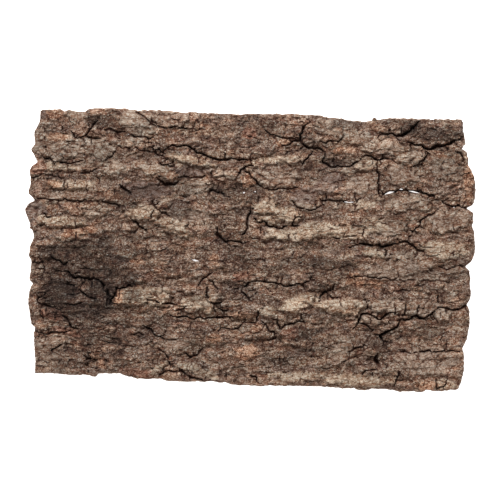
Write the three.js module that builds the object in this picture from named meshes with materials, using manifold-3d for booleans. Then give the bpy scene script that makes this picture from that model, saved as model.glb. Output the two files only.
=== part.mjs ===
// A flat slab of virgin cork bark, 451 by 285 mm and up to 28 mm thick, lying on its inner face.
//
// The tree's grain runs along X. The outer bark is a relief of broad ribs, raised plates, open
// fissures and a few splits that run right through the slab. The inner face is hollowed a little
// between two flat bearing strips, on which the slab rests at z = 0.
import * as THREE from "three";
import { mergeVertices } from "three/addons/utils/BufferGeometryUtils.js";
import Module from "manifold-3d";

// Driving sizes, in millimetres
const LENGTH = 451;
const WIDTH = 285;
const BODY_THICKNESS = 17.5; // of the plain bark, before ribs, plates and fissures
const EDGE_DROP = 4.5; // how far the bark falls away at the rim
const EDGE_ROUND = 9; // how far in from the rim it starts to fall
const LEAST_THICKNESS = 5.5; // of cork left under the deepest fissure
const HOLLOW = 3.6; // rise of the inner face between the bearing strips
const HOLLOW_HALF = 116; // from the middle to where the bearing strips begin
const HOLLOW_EVEN = 2; // rise up to which the inner face keeps an even shape
const SPLIT_WIDTH = 2.2; // of the splits that run right through

// Slow unevenness, each as [size along the grain, size across it, swing, seed]
const BARK_SWINGS = [[65, 24, 1.6, 3], [16, 8, 0.9, 4]];
const INNER_SWING = [70, 30, 0.8, 5];
const RIM_SWING = [14, 14, 0.3, 6];
const WANDER_ALONG = [8, 8, 1.6, 1]; // bends every feature's border along the grain
const WANDER_ACROSS = [9, 6, 1.2, 2]; // and across it

// Shape of a fissure: the share of its depth left at its ends, and of its length that each end takes
const END_DEPTH = 0.55;
const END_LENGTH = 0.2;

// Shape of a plate, in shares of its half length: where its border starts to fall and where it
// meets the bark, how boxy it is in plan, how ragged, and how much its crown swells
const BORDER_TOP = 0.74;
const BORDER_FOOT = 1.1;
const BOXY = 2.6;
const RAGGED = [9, 6, 0.14, 11];
const SWELL = 0.22;

// Places on the bark are laid out in millimetres, right and down from the upper left corner of a
// 500 mm board. The middle of the slab lies close to the board's own.
const MIDDLE_RIGHT = 250.5;
const MIDDLE_DOWN = 249.9;
const fromBoard = (right, down) => [right - MIDDLE_RIGHT, MIDDLE_DOWN - down];

// The outline of the slab on the board. Long edges are (right, down), ends are (down, right).
const FAR_EDGE = [
  [24, 109.5], [40, 109], [46, 108.5], [51, 111], [57, 109.5], [70, 111], [79, 111.5], [84, 109.5],
  [92, 108], [108, 107.5], [125, 108.5], [138, 110], [160, 110], [175, 111.5], [186, 113],
  [192, 112], [215, 113], [240, 114], [275, 113.5], [305, 114.5], [321, 115], [325, 117],
  [342, 118.5], [352, 120.5], [368, 121], [380, 119], [391, 117.5], [415, 118.5], [463, 119],
  [476, 119.5],
];
const NEAR_EDGE = [
  [24, 373], [45, 373.5], [70, 375.5], [80, 374.5], [94, 376.5], [97, 373.5], [120, 373.5],
  [126, 376], [136, 378.5], [160, 379], [168, 381.5], [210, 382], [224, 383], [232, 385],
  [260, 386.5], [270, 385.5], [320, 386.5], [336, 388], [353, 388.5], [360, 390.5], [366, 390.5],
  [372, 389], [394, 390.5], [402, 392], [420, 391.5], [430, 392.5], [438, 390], [458, 391],
  [476, 390],
];
const LEFT_END = [
  [107, 40], [118, 39.5], [122, 37.5], [129, 33.5], [136, 34.5], [141, 35], [148, 31], [152, 33.5],
  [157, 36], [161, 38], [165, 32.5], [170, 30], [184, 30], [190, 28], [193.5, 27.5], [197, 32],
  [200.5, 35], [203, 29.5], [209, 24.5], [215, 26.5], [226, 30.5], [234, 34], [238.5, 34],
  [243, 31], [256, 28.5], [260, 31], [271, 31], [276, 29], [281, 30], [283.5, 33], [288, 30],
  [299, 27.5], [309, 28.5], [320, 30], [329, 31.5], [332.5, 35.5], [340, 33.5], [362, 34],
  [373, 35],
];
const RIGHT_END = [
  [118, 463.5], [121, 464.5], [133, 465.5], [138.5, 461.5], [143, 466.5], [151, 468.5],
  [160, 468.5], [166, 471], [176, 474.5], [186, 475.5], [198, 475], [205.5, 472.5], [208, 466],
  [213, 472.5], [222, 473], [226, 472], [233, 474.5], [246, 475], [256, 474], [262, 471],
  [266.5, 465], [271, 470], [283, 470], [295, 471], [301, 469.5], [304.5, 467], [312, 469.5],
  [323, 470], [335, 468], [345, 465], [350.5, 462.5], [360, 464.5], [374, 463.5], [386, 461.5],
  [391, 459],
];

// The hollows between the ribs, from end to end: [depth, half width, ...places along it].
const SEAMS = [
  [2.6, 9, [34, 161], [90, 166], [150, 157], [215, 158], [255, 160], [305, 145], [340, 163], [378, 160],
    [430, 148], [466, 139]],
  [2.4, 8, [33, 200], [110, 203], [132, 193], [172, 184], [215, 192], [262, 188], [300, 192], [345, 201],
    [383, 195], [436, 199], [472, 208]],
  [2.0, 8, [33, 239], [100, 242], [145, 231], [220, 239], [247, 243], [300, 250], [350, 246], [427, 251],
    [468, 266]],
  [2.2, 9, [31, 283], [80, 278], [108, 290], [136, 286], [205, 278], [240, 289], [290, 286], [325, 292],
    [400, 281], [440, 268], [468, 266]],
  [2.6, 9, [34, 332], [75, 328], [110, 308], [160, 316], [230, 318], [281, 327], [305, 323], [356, 326],
    [380, 318], [405, 320], [440, 307], [468, 304]],
  [2.0, 8, [80, 333], [160, 336], [200, 350], [275, 338], [300, 352], [376, 360], [400, 351], [464, 350]],
];

// Open fissures and cracks: [depth, half width, ...places along it]. They close at both ends.
const FISSURES = [
  [6, 2.6, [71, 131], [76, 137], [82, 138.5], [86, 134], [92, 127], [97, 121]],
  [6, 2.4, [85, 136], [93, 139], [102, 139.5]],
  [4, 3.2, [97, 129], [108, 130], [120, 132], [129, 133.5]],
  [3.5, 2.2, [129, 134], [136, 137], [146, 138], [154, 137]],
  [3.5, 2.2, [134, 111], [143, 116], [150, 122], [157, 127]],
  [4, 2.4, [150, 119], [158, 125.5], [168, 128], [177, 127], [192, 129]],
  [4.5, 2.4, [38, 156], [46, 158], [54, 159.5], [62, 162.5], [84, 162]],
  [4.5, 2.2, [107, 161], [111, 156], [116, 148.5]],
  [5, 2.6, [150, 142], [157, 148], [168, 155]],
  [7.5, 2.8, [163, 151], [172, 147], [180, 145.5], [189, 146.5], [196, 151], [205, 154.5], [215, 158],
    [226, 159.5], [248, 160], [257, 158]],
  [4.5, 2.4, [140, 151], [150, 152], [166, 157]],
  [5, 2.4, [159, 160], [163, 164.5], [171, 166.5], [178, 164]],
  [3.5, 2.2, [80, 172], [87, 174.5], [94, 171], [100, 167]],
  [3.5, 2.2, [31, 178], [37, 177], [44, 174], [62, 178]],
  [3.5, 2.4, [33, 199.5], [62, 200], [98, 201.5]],
  [4, 3, [98, 201], [124, 206]],
  [7, 3.6, [119, 185], [125, 191], [133, 194]],
  [7.5, 4, [158, 179], [165, 183], [172, 185], [179, 181]],
  [4.5, 2.8, [177, 178], [202, 177.5], [211, 173]],
  [6, 2.6, [237, 178], [240, 171], [247, 167], [256, 164]],
  [5, 2.4, [240, 171], [250, 174], [256, 181], [263, 188]],
  [3.5, 2.2, [263, 188], [275, 189.5], [303, 188]],
  [5.5, 3.2, [207, 197], [213, 190], [219, 193], [229, 198]],
  [8, 3.6, [310, 122], [305, 126], [300, 134], [300, 141], [308, 146], [318, 150], [326, 153]],
  [7.5, 4, [326, 153], [322, 160], [330, 167], [342, 168], [351, 166], [363, 157]],
  [5, 2.6, [302, 166], [306, 160], [311, 154], [316, 149]],
  [5.5, 2.4, [320, 141], [328, 143], [338, 142], [346, 135]],
  [5, 3, [362, 156], [377, 160], [392, 160]],
  [8, 4.4, [378, 133], [388, 134], [398, 135], [405, 133], [412, 127], [421, 120]],
  [9, 4.4, [407, 141], [418, 146], [428, 148.5], [440, 146.5], [451, 143], [464, 138.5]],
  [5.5, 2.6, [424, 149], [427.5, 155], [425, 161], [410, 167]],
  [4.5, 2.8, [455, 150], [461, 157], [463, 163]],
  [5, 3, [376, 160], [377, 168], [380, 175], [378, 192], [382, 198]],
  [9, 3.2, [381, 197], [390, 192.5], [400, 190.5], [409, 190.5], [427, 194.5], [439, 199]],
  [5, 2.6, [438, 199], [446, 205], [455, 207], [470, 208]],
  [7, 2.8, [316, 200], [330, 200], [344, 201.5], [356, 202], [362, 198]],
  [5.5, 2.8, [290, 200], [296, 206], [303, 210], [314, 209], [324, 204]],
  [6.5, 2.8, [251, 207], [249.5, 215], [248, 222], [246, 230], [241, 238]],
  [5.5, 2.6, [252, 217], [260, 221.5], [267, 223], [272, 227], [283, 229.5], [292, 225], [299, 228]],
  [6, 4.2, [216, 227], [219, 237], [226, 242], [238, 241], [247, 247]],
  [5.5, 2.8, [149, 203], [154, 202], [155, 208], [162, 212], [169, 216]],
  [6, 2.8, [130, 218], [136, 223], [142, 229], [150, 233]],
  [7.5, 3, [349, 248], [358, 245], [368, 244], [380, 246], [392, 245], [408, 241.5], [413, 246],
    [428, 251]],
  [6, 2.8, [438, 208], [430, 214], [421, 220.5], [418, 227], [408, 236]],
  [3.5, 2.2, [333, 237], [342, 238.5], [357, 236]],
  [7, 3, [317, 302], [321, 295], [325, 291], [329, 295], [335, 302]],
  [7.5, 2.8, [353, 331], [357, 325], [360, 320], [361.5, 314], [368, 313.5], [376, 317], [384, 314.5],
    [390, 312], [398, 314]],
  [9, 3.8, [396, 320], [404, 320], [411, 319.5], [416, 315], [423, 318], [433, 311], [441, 306]],
  [5.5, 2.6, [440, 307], [449, 309], [459, 309], [469, 304.5]],
  [9, 4.4, [402, 321], [396, 327], [388, 330], [380, 336], [384, 345]],
  [6.5, 2.8, [228, 287], [236, 290], [243, 288], [250, 282.5], [260, 281.5], [288, 286], [314, 280]],
  [4.5, 2.4, [241, 290], [246, 295], [251, 302]],
  [4.5, 2.4, [197, 286], [202, 281], [208, 275], [213, 272]],
  [7, 2.8, [207, 287], [206, 295], [209, 301], [215, 303], [222, 301]],
  [6.5, 2.6, [217, 306], [222, 310.5], [230, 309]],
  [5.5, 2.6, [143, 300], [155, 300], [161, 303], [170, 303.5], [178, 306]],
  [5, 3.4, [169, 316], [182, 317], [210, 318], [236, 318]],
  [4.5, 2.4, [217, 329], [239, 329], [244, 322], [260, 320]],
  [4.5, 2.4, [262, 322], [268, 329], [275, 333], [276, 338], [267, 341]],
  [5, 2.4, [271, 317], [277, 319], [281, 328], [290, 325], [306, 323]],
  [7.5, 4, [59, 270], [68, 272], [76, 277], [94, 277.5], [100, 281], [105, 288], [110, 296], [107, 307]],
  [5, 2.4, [75, 286], [82, 291], [87, 297], [97, 299.5]],
  [5, 2.8, [47, 293], [39, 297], [40, 304], [50, 307], [63, 310]],
  [4.5, 2.8, [62, 314], [67, 320], [72, 327], [81, 331]],
  [7.5, 3.4, [137, 286], [126, 287], [117, 289], [113, 297], [110, 306]],
  [4, 2.2, [34, 332.5], [46, 333], [60, 333], [73, 331]],
  [5.5, 2.8, [51, 351], [57, 348], [63, 344]],
  [5.5, 3, [83, 360], [90, 359.5], [98, 361]],
  [5.5, 3, [143, 325], [151, 331], [158, 336], [167, 341]],
  [4, 2.4, [180, 353], [190, 357.5], [197, 354], [204, 347]],
  [5, 3.2, [160, 375], [166, 371.5], [178, 372], [190, 377], [224, 382]],
  [4.5, 2.6, [398, 369], [398, 378], [396, 387]],
  [7, 5, [379, 351], [375, 360], [381, 367]],
  [4.5, 2.6, [341, 364], [350, 359], [358, 356]],
  [4, 2.2, [399, 351], [415, 353], [430, 350], [465, 350.5]],
  [4.5, 2.8, [261, 128], [267, 134], [276, 136.5], [298, 139]],
  [4, 2.4, [467, 266.5], [458, 266], [449, 269], [433, 264]],
];

// Raised and sunken plates: [right, down, half length, half width, turn in degrees, lift].
const PLATES = [
  [78, 116, 12, 5, 0, 2], [98, 112, 10, 4.5, -10, 2.5], [108, 122, 17, 8, 5, -2],
  [139, 124, 20, 13, 20, 4], [157, 117, 8, 8, 0, 3], [175, 118, 14, 9, 0, 3],
  [62, 147, 28, 14, 5, 4], [42, 140, 8, 17, 0, 2], [97, 147, 20, 11, 15, 3],
  [128, 143, 14, 6, -5, 3], [55, 167, 22, 4, 0, 2], [88, 165, 9, 7, 0, 3],
  [38, 169, 9, 8, 0, 3], [112, 168, 18, 8, 10, 2.5], [72, 185, 26, 5.5, 3, 4],
  [37, 212, 12, 10, 0, 3], [98, 212, 18, 5.5, -15, 4], [62, 221, 26, 6, 5, 3.5],
  [144, 213, 20, 8, -5, 5], [175, 227, 19, 8, 25, 5], [164, 203, 8, 5, -20, 3],
  [150, 190, 27, 9, 5, -1.5], [152, 170, 22, 5, 15, 4], [173, 177, 6, 5, 0, 5],
  [190, 160, 26, 5, 12, 5], [194, 170, 16, 7, 0, -2.5], [226, 174, 12, 5, 0, 5],
  [192, 187, 22, 8, -3, 3], [228, 187, 14, 9, 0, -2], [281, 160, 24, 4, 0, 5],
  [281, 177, 23, 10, 0, 2.5], [250, 165, 9, 4, -35, 4], [318, 190, 27, 14, -25, 2],
  [277, 213, 24, 12, 0, 5], [285, 235, 26, 6, 3, 4.5], [340, 231, 45, 11, 0, 5],
  [388, 228, 20, 10, 0, 4], [335, 127, 22, 11, 10, 3], [372, 143, 32, 9, 15, 4.5],
  [407, 155, 20, 8, 10, 4], [338, 151, 7, 4.5, -20, 4], [366, 164, 13, 6, 0, 5],
  [350, 172, 9, 4.5, 0, 3], [448, 168, 20, 13, 20, 2.5], [402, 175, 19, 10, 0, 3],
  [364, 205, 12, 5, 0, 2], [408, 204, 26, 8, 0, 3], [448, 222, 22, 12, -10, 3],
  [445, 250, 28, 8, 3, 3.5], [371, 253, 14, 5, 5, 3], [401, 256, 14, 5, 0, 2.5],
  [405, 272, 50, 11, 0, 2], [145, 296, 29, 10, 2, 5.5], [198, 304, 20, 9, 5, 5],
  [213, 294, 7, 5, 0, 5], [241, 314, 16, 4.5, 0, 4], [267, 311, 12, 6, 0, 4],
  [297, 303, 22, 7, -22, 5.5], [342, 307, 27, 9, 0, 5.5], [385, 305, 17, 7, 0, 5],
  [411, 309, 8, 9, 0, 5], [424, 309, 8, 8, -10, 4], [440, 314, 9, 6, 20, 4],
  [370, 320, 10, 4.5, 25, 4], [118, 297, 4.5, 9, 10, 3], [78, 283, 42, 24, 0, -2.5],
  [52, 314, 14, 6, 20, 2.5], [66, 331, 15, 4.5, 15, 2], [48, 352, 15, 17, 0, 3],
  [101, 361, 12, 5, 50, 3], [160, 367, 11, 4.5, -35, 4], [198, 370, 24, 5.5, 22, 4],
  [300, 376, 32, 6, 0, 4], [360, 380, 40, 6.5, 2, 4.5], [175, 340, 18, 8, 0, 2],
  [289, 333, 10, 6, 0, 2.5], [345, 343, 14, 7, 0, 2.5], [345, 355, 14, 6, 0, 2.5],
  [425, 362, 30, 15, 0, 2.5], [445, 384, 10, 6, 0, 3.5], [425, 386, 12, 5, 0, 3],
  [242, 276, 10, 5, -10, 3], [405, 127, 20, 8, 0, -2], [437, 134, 26, 8, 0, 2],
  [340, 161, 18, 6, 0, -3], [236, 238, 20, 8, 0, -2.5], [325, 290, 10, 7, 0, -2.5],
  [298, 352, 14, 7, 0, -2], [380, 342, 14, 11, 0, -2.5], [130, 330, 14, 8, 0, -1.5],
];

// Splits right through the slab: the places along each one's middle.
const SPLITS = [
  [[384, 194], [390, 192], [397, 191]],
  [[406, 190.8], [414, 191.6], [426, 194.6]],
  [[343, 201.4], [349, 202], [356, 202]],
  [[191, 260], [195, 260.5], [200, 261.5]],
  [[398.5, 189.4], [401.5, 188.8], [404.5, 189]],
  [[242.2, 192.9], [243.9, 192.6], [245.6, 192.4]],
  [[253.6, 191.9], [255.2, 191.5], [256.8, 191.6]],
  [[126, 133.3], [127.8, 134], [129.6, 134.8]],
  [[452.5, 207.5], [454.2, 207.2], [455.9, 207.5]],
];

// The mesh of the bark face, and the steps of the inner face
const COLUMNS = 64;
const ROWS = 72;
const RIM_REACH = 90; // how far in from each side the outline bends the mesh
const SNAP = 0.56; // share of a mesh step within which a vertex moves onto a fissure
const LEAST_AREA = 0.12; // share of a mesh cell that each triangle keeps after such a move
const INNER_COLUMNS = 16;
const INNER_ROWS = [-150, -116, -88, -60, -30, 0, 30, 60, 88, 116, 150];
const BELOW = 8; // how far the raw block runs below the rest plane before it is cut
const CUTTER_BELOW = 24; // how far the inner face's cutter runs below it
const CUTTER_PAST = 10; // how far that cutter passes the ends
const BLADE_TOP = 40; // how high the blades that cut the splits reach
const MERGE_WITHIN = 1e-4; // vertices closer than this become one

// The sawn side at its shoulder and at its foot: how far it stands proud of the rim, the share of the
// slab's height there, and how rough it is
const SHOULDER_OUT = 1.6;
const SHOULDER_HEIGHT = 0.55;
const SHOULDER_ROUGH = 0.9;
const FOOT_OUT = 1.0;
const FOOT_HEIGHT = 0.12;
const FOOT_ROUGH = 0.5;
const SIDE_RUN = 3; // mesh steps along the rim for one swing of the roughness
const SIDE_SEED = 8;

// A repeatable random number from 0 to 1 for a cell of a grid
const cellRandom = (i, j, seed) => {
  let h = Math.imul(i, 374761393) ^ Math.imul(j, 668265263) ^ Math.imul(seed, 974634777);
  h = Math.imul(h ^ (h >>> 13), 1274126177);
  return ((h ^ (h >>> 16)) >>> 0) / 2 ** 32;
};

const ease = (t) => {
  const s = Math.min(1, Math.max(0, t));
  return s * s * (3 - 2 * s);
};

const mix = (a, b, t) => a + (b - a) * t;

// Smooth noise from -1 to 1, one swing per unit
const noise = (x, y, seed) => {
  const i = Math.floor(x);
  const j = Math.floor(y);
  const u = ease(x - i);
  const v = ease(y - j);
  const low = mix(cellRandom(i, j, seed), cellRandom(i + 1, j, seed), u);
  const high = mix(cellRandom(i, j + 1, seed), cellRandom(i + 1, j + 1, seed), u);
  return 2 * mix(low, high, v) - 1;
};

// One entry of slow unevenness, at a place
const swing = ([sizeX, sizeY, height, seed], x, y) => height * noise(x / sizeX, y / sizeY, seed);

// Reads a list of (place, value) pairs, straight between them
const along = (pairs, at) => {
  if (at <= pairs[0][0]) return pairs[0][1];
  for (let k = 1; k < pairs.length; k++) {
    const [p0, v0] = pairs[k - 1];
    const [p1, v1] = pairs[k];
    if (at <= p1) return mix(v0, v1, (at - p0) / (p1 - p0));
  }
  return pairs[pairs.length - 1][1];
};

const left = (down) => along(LEFT_END, down);
const right = (down) => along(RIGHT_END, down);
const far = (across) => along(FAR_EDGE, across);
const near = (across) => along(NEAR_EDGE, across);

// The nearest point to (x, y) on a line of places, how far off it is, and how far along from 0 to 1
const nearestOn = (path, x, y, stretch = 1) => {
  let best = { off: Infinity };
  path.slice(1).forEach(([x1, y1], k) => {
    const [x0, y0] = path[k];
    const dx = x1 - x0;
    const dy = (y1 - y0) * stretch;
    const t = Math.min(1, Math.max(0, ((x - x0) * dx + (y - y0) * stretch * dy) / (dx * dx + dy * dy)));
    const px = x0 + t * (x1 - x0);
    const py = y0 + t * (y1 - y0);
    const off = Math.hypot(x - px, (y - py) * stretch);
    if (off < best.off) best = { off, px, py, share: (k + t) / (path.length - 1) };
  });
  return best;
};

// How deep a fissure cuts at a place: deepest on its line, and closing at both ends
const cut = ([depth, halfWidth, ...path], x, y) => {
  const { off, share } = nearestOn(path, x, y);
  const open = mix(END_DEPTH, 1, ease(Math.min(share, 1 - share) / END_LENGTH));
  return depth * open * (1 - ease(off / halfWidth));
};

// How far a plate lifts the bark at a place: a low crown with a steep, ragged border
const lift = ([cx, cy, halfLength, halfWidth, turn, height], x, y) => {
  const c = Math.cos((turn * Math.PI) / 180);
  const s = Math.sin((turn * Math.PI) / 180);
  const a = ((x - cx) * c + (y - cy) * s) / halfLength;
  const b = ((y - cy) * c - (x - cx) * s) / halfWidth;
  const q = (Math.abs(a) ** BOXY + Math.abs(b) ** BOXY) ** (1 / BOXY) + swing(RAGGED, x, y);
  const border = 1 - ease((q - BORDER_TOP) / (BORDER_FOOT - BORDER_TOP));
  return height * border * (1 - SWELL * Math.min(1, q * q));
};

// The even arch of the slab across the grain, which both faces follow
const arch = (y) => HOLLOW * Math.max(0, 1 - (y / HOLLOW_HALF) ** 2);

// The rise of the inner face above the rest plane, at a place on the slab
const innerRise = (x, y) => Math.max(0, arch(y) + swing(INNER_SWING, x, y) * ease(arch(y) / HOLLOW_EVEN));

// The height of the bark face at a place on the board
const barkHeight = (across, down) => {
  const x = across + swing(WANDER_ALONG, across, down);
  const y = down + swing(WANDER_ACROSS, across, down);
  const [px, py] = fromBoard(across, down);
  let height = BODY_THICKNESS + arch(py);
  for (const entry of BARK_SWINGS) height += swing(entry, x, y);
  for (const seam of SEAMS) height -= cut(seam, x, y);
  const lifts = PLATES.map((plate) => lift(plate, x, y));
  height += Math.max(0, ...lifts) + Math.min(0, ...lifts);
  height -= Math.max(...FISSURES.map((fissure) => cut(fissure, x, y)));
  const inEnds = Math.min(across - left(down), right(down) - across);
  const inset = Math.min(inEnds, down - far(across), near(across) - down);
  height -= EDGE_DROP * (1 - ease(inset / EDGE_ROUND)) * (1 - RIM_SWING[2] + swing(RIM_SWING, x, y));
  return Math.max(height, innerRise(px, py) + LEAST_THICKNESS);
};

// The board place of a mesh vertex: even steps, drawn to the rim near the sides
const meshPlace = (column, row) => {
  const fromLeft = (column / COLUMNS) * LENGTH;
  const fromFar = (row / ROWS) * WIDTH;
  const across = MIDDLE_RIGHT - LENGTH / 2 + fromLeft;
  const down = MIDDLE_DOWN - WIDTH / 2 + fromFar;
  const pull = (distance) => 1 - ease(distance / RIM_REACH);
  const pulledX = (left(down) + SHOULDER_OUT - (MIDDLE_RIGHT - LENGTH / 2)) * pull(fromLeft)
    + (right(down) - SHOULDER_OUT - (MIDDLE_RIGHT + LENGTH / 2)) * pull(LENGTH - fromLeft);
  const pulledY = (far(across) + SHOULDER_OUT - (MIDDLE_DOWN - WIDTH / 2)) * pull(fromFar)
    + (near(across) - SHOULDER_OUT - (MIDDLE_DOWN + WIDTH / 2)) * pull(WIDTH - fromFar);
  return [across + pulledX, down + pulledY];
};

const isRim = (column, row) => column === 0 || row === 0 || column === COLUMNS || row === ROWS;

// The bark face's places, with the vertices beside a fissure moved onto it
const facePlaces = () => {
  const stepX = LENGTH / COLUMNS;
  const stretch = stepX / (WIDTH / ROWS);
  const places = [];
  for (let row = 0; row <= ROWS; row++)
    for (let column = 0; column <= COLUMNS; column++) places.push(meshPlace(column, row));
  const at = (column, row) => row * (COLUMNS + 1) + column;
  const area = (a, b, c) => (b[0] - a[0]) * (c[1] - a[1]) - (b[1] - a[1]) * (c[0] - a[0]);
  const folds = (column, row) => {
    for (const [i, j] of [[column - 1, row - 1], [column, row - 1], [column - 1, row], [column, row]]) {
      const [a, b, c, d] = [at(i, j), at(i + 1, j), at(i + 1, j + 1), at(i, j + 1)].map((k) => places[k]);
      const least = LEAST_AREA * stepX * (stepX / stretch);
      if (Math.min(area(a, b, c), area(a, c, d), area(a, b, d), area(b, c, d)) < least) return true;
    }
    return false;
  };
  const moves = [];
  for (let row = 1; row < ROWS; row++)
    for (let column = 1; column < COLUMNS; column++) {
      const [x, y] = places[at(column, row)];
      let best = { off: SNAP * stepX };
      for (const [, , ...path] of FISSURES) {
        const found = nearestOn(path, x, y, stretch);
        if (found.off < best.off) best = found;
      }
      if (best.px !== undefined) moves.push({ ...best, column, row });
    }
  // The nearest vertices move first, and one whose move would fold the mesh stays where it was
  moves.sort((a, b) => a.off - b.off);
  for (const { column, row, px, py } of moves) {
    const old = places[at(column, row)];
    places[at(column, row)] = [px, py];
    if (folds(column, row)) places[at(column, row)] = old;
  }
  return places;
};

// A closed geometry from points and triangles
const geometryOf = (points, triangles) => {
  const geometry = new THREE.BufferGeometry();
  geometry.setAttribute("position", new THREE.Float32BufferAttribute(points.flat(), 3));
  geometry.setIndex(triangles.flat());
  return geometry;
};

// The raw block: the bark face on top, sawn sides all round, and a plain bottom below the rest plane
const rawBlock = () => {
  const places = facePlaces();
  const points = places.map(([across, down]) => [...fromBoard(across, down), barkHeight(across, down)]);
  const at = (column, row) => row * (COLUMNS + 1) + column;
  const triangles = [];
  for (let row = 0; row < ROWS; row++)
    for (let column = 0; column < COLUMNS; column++) {
      const [a, b] = [at(column, row), at(column + 1, row)];
      const [c, d] = [at(column + 1, row + 1), at(column, row + 1)];
      // The crease runs along the diagonal whose ends differ least, so that fissures stay open
      const level = Math.abs(points[a][2] - points[c][2]) <= Math.abs(points[b][2] - points[d][2]);
      if (level) triangles.push([a, d, c], [a, c, b]);
      else triangles.push([a, d, b], [b, d, c]);
    }

  // The rim, once round against the clock seen from above, with the way out at each place
  const rim = [];
  for (let row = 0; row < ROWS; row++) rim.push([0, row, -1, 0]);
  for (let column = 0; column < COLUMNS; column++) rim.push([column, ROWS, 0, -1]);
  for (let row = ROWS; row > 0; row--) rim.push([COLUMNS, row, 1, 0]);
  for (let column = COLUMNS; column > 0; column--) rim.push([column, 0, 0, 1]);

  let upper = rim.map(([column, row]) => at(column, row));
  // Each level of the side: how far out, its height under a rim at height z, its roughness, and the row
  // of the noise that it reads. The bottom keeps straight below the foot.
  const levels = [
    { out: SHOULDER_OUT, height: (z) => SHOULDER_HEIGHT * z, rough: SHOULDER_ROUGH, noiseRow: 0 },
    { out: FOOT_OUT, height: (z) => FOOT_HEIGHT * z, rough: FOOT_ROUGH, noiseRow: 1 },
    { out: FOOT_OUT, height: () => -BELOW, rough: FOOT_ROUGH, noiseRow: 1 },
  ];
  levels.forEach(({ out, height, rough, noiseRow }) => {
    const lower = rim.map(([column, row, outX, outY], k) => {
      const [x, y, z] = points[at(column, row)];
      const wobble = rough * noise(k / SIDE_RUN, noiseRow, SIDE_SEED);
      return points.push([x + outX * (out + wobble), y + outY * (out + wobble), height(z)]) - 1;
    });
    upper.forEach((top, k) => {
      const next = (k + 1) % upper.length;
      triangles.push([top, lower[k], lower[next]], [top, lower[next], upper[next]]);
    });
    upper = lower;
  });
  const flat = upper.map((k) => new THREE.Vector2(points[k][0], points[k][1]));
  for (const [a, b, c] of THREE.ShapeUtils.triangulateShape(flat, []))
    triangles.push([upper[a], upper[c], upper[b]]);
  return geometryOf(points, triangles);
};

// What is cut away from below, so that the inner face is hollowed between two bearing strips
const innerCutter = () => {
  const points = [];
  const triangles = [];
  const reach = LENGTH / 2 + CUTTER_PAST;
  const columns = INNER_COLUMNS + 1;
  const at = (column, row) => row * columns + column;
  for (const y of INNER_ROWS)
    for (let column = 0; column <= INNER_COLUMNS; column++) {
      const x = reach * ((2 * column) / INNER_COLUMNS - 1);
      points.push([x, y, innerRise(x, y)]);
    }
  const top = points.length;
  points.push(...points.map(([x, y]) => [x, y, -CUTTER_BELOW]));
  for (let row = 0; row < INNER_ROWS.length - 1; row++)
    for (let column = 0; column < INNER_COLUMNS; column++) {
      const [a, b] = [at(column, row), at(column + 1, row)];
      const [c, d] = [at(column + 1, row + 1), at(column, row + 1)];
      triangles.push([a, b, c], [a, c, d], [a + top, c + top, b + top], [a + top, d + top, c + top]);
    }
  const border = [];
  for (let column = 0; column < INNER_COLUMNS; column++) border.push(at(column, 0));
  for (let row = 0; row < INNER_ROWS.length - 1; row++) border.push(at(INNER_COLUMNS, row));
  for (let column = INNER_COLUMNS; column > 0; column--) border.push(at(column, INNER_ROWS.length - 1));
  for (let row = INNER_ROWS.length - 1; row > 0; row--) border.push(at(0, row));
  border.forEach((a, k) => {
    const b = border[(k + 1) % border.length];
    triangles.push([a, a + top, b + top], [a, b + top, b]);
  });
  return geometryOf(points, triangles);
};

// A thin upright blade along a split, pointed at both ends
const splitBlade = (path) => {
  const middle = path.map(([across, down]) => fromBoard(across, down));
  const [first, last] = [middle[0], middle[middle.length - 1]];
  const bellyOf = ([x, y]) => [[x, y + SPLIT_WIDTH / 2], [x, y - SPLIT_WIDTH / 2]];
  const inner = middle.slice(1, -1).map(bellyOf);
  const outline = [first, ...inner.map(([, low]) => low), last, ...inner.map(([high]) => high).reverse()];
  const shape = new THREE.Shape(outline.map(([x, y]) => new THREE.Vector2(x, y)));
  const blade = new THREE.ExtrudeGeometry(shape, { depth: BLADE_TOP + BELOW, bevelEnabled: false });
  return blade.translate(0, 0, -BELOW);
};

const wasm = await Module();
wasm.setup();

// A closed geometry as a solid that can be cut and joined
const solidOf = (geometry) => {
  geometry.deleteAttribute("normal");
  geometry.deleteAttribute("uv");
  const merged = mergeVertices(geometry, MERGE_WITHIN);
  return new wasm.Manifold(
    new wasm.Mesh({
      numProp: 3,
      vertProperties: new Float32Array(merged.attributes.position.array),
      triVerts: new Uint32Array(merged.index.array),
    }),
  );
};

const slabGeometry = () => {
  let solid = solidOf(rawBlock()).subtract(solidOf(innerCutter()));
  for (const path of SPLITS) solid = solid.subtract(solidOf(splitBlade(path)));
  const { numProp, vertProperties, triVerts } = solid.getMesh();
  const points = [];
  for (let k = 0; k < vertProperties.length; k += numProp) {
    points.push([...vertProperties.slice(k, k + 3)]);
  }
  const geometry = geometryOf(points, [[...triVerts]]);
  geometry.computeVertexNormals();
  return geometry;
};

const bark = new THREE.MeshStandardMaterial({ color: 0x6f5b4e, roughness: 0.95, metalness: 0 });
const slab = new THREE.Mesh(slabGeometry(), bark);
slab.name = "cork_bark_slab";

const group = new THREE.Group();
group.add(slab);

export default group;
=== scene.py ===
"""A slab of virgin cork bark, seen from above on a pale ground.

The slab is one closed mesh. Its bark face is worked out as heights on an even board grid: slow ribs,
raised plates, open fissures, scales and fine layers. The same grid gives the colour masks that the bark
material reads. Loose flakes are scattered over the bark face afterwards.

Places on the bark are in millimetres, right and down from the upper left corner of a 500 mm board.
"""

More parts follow.
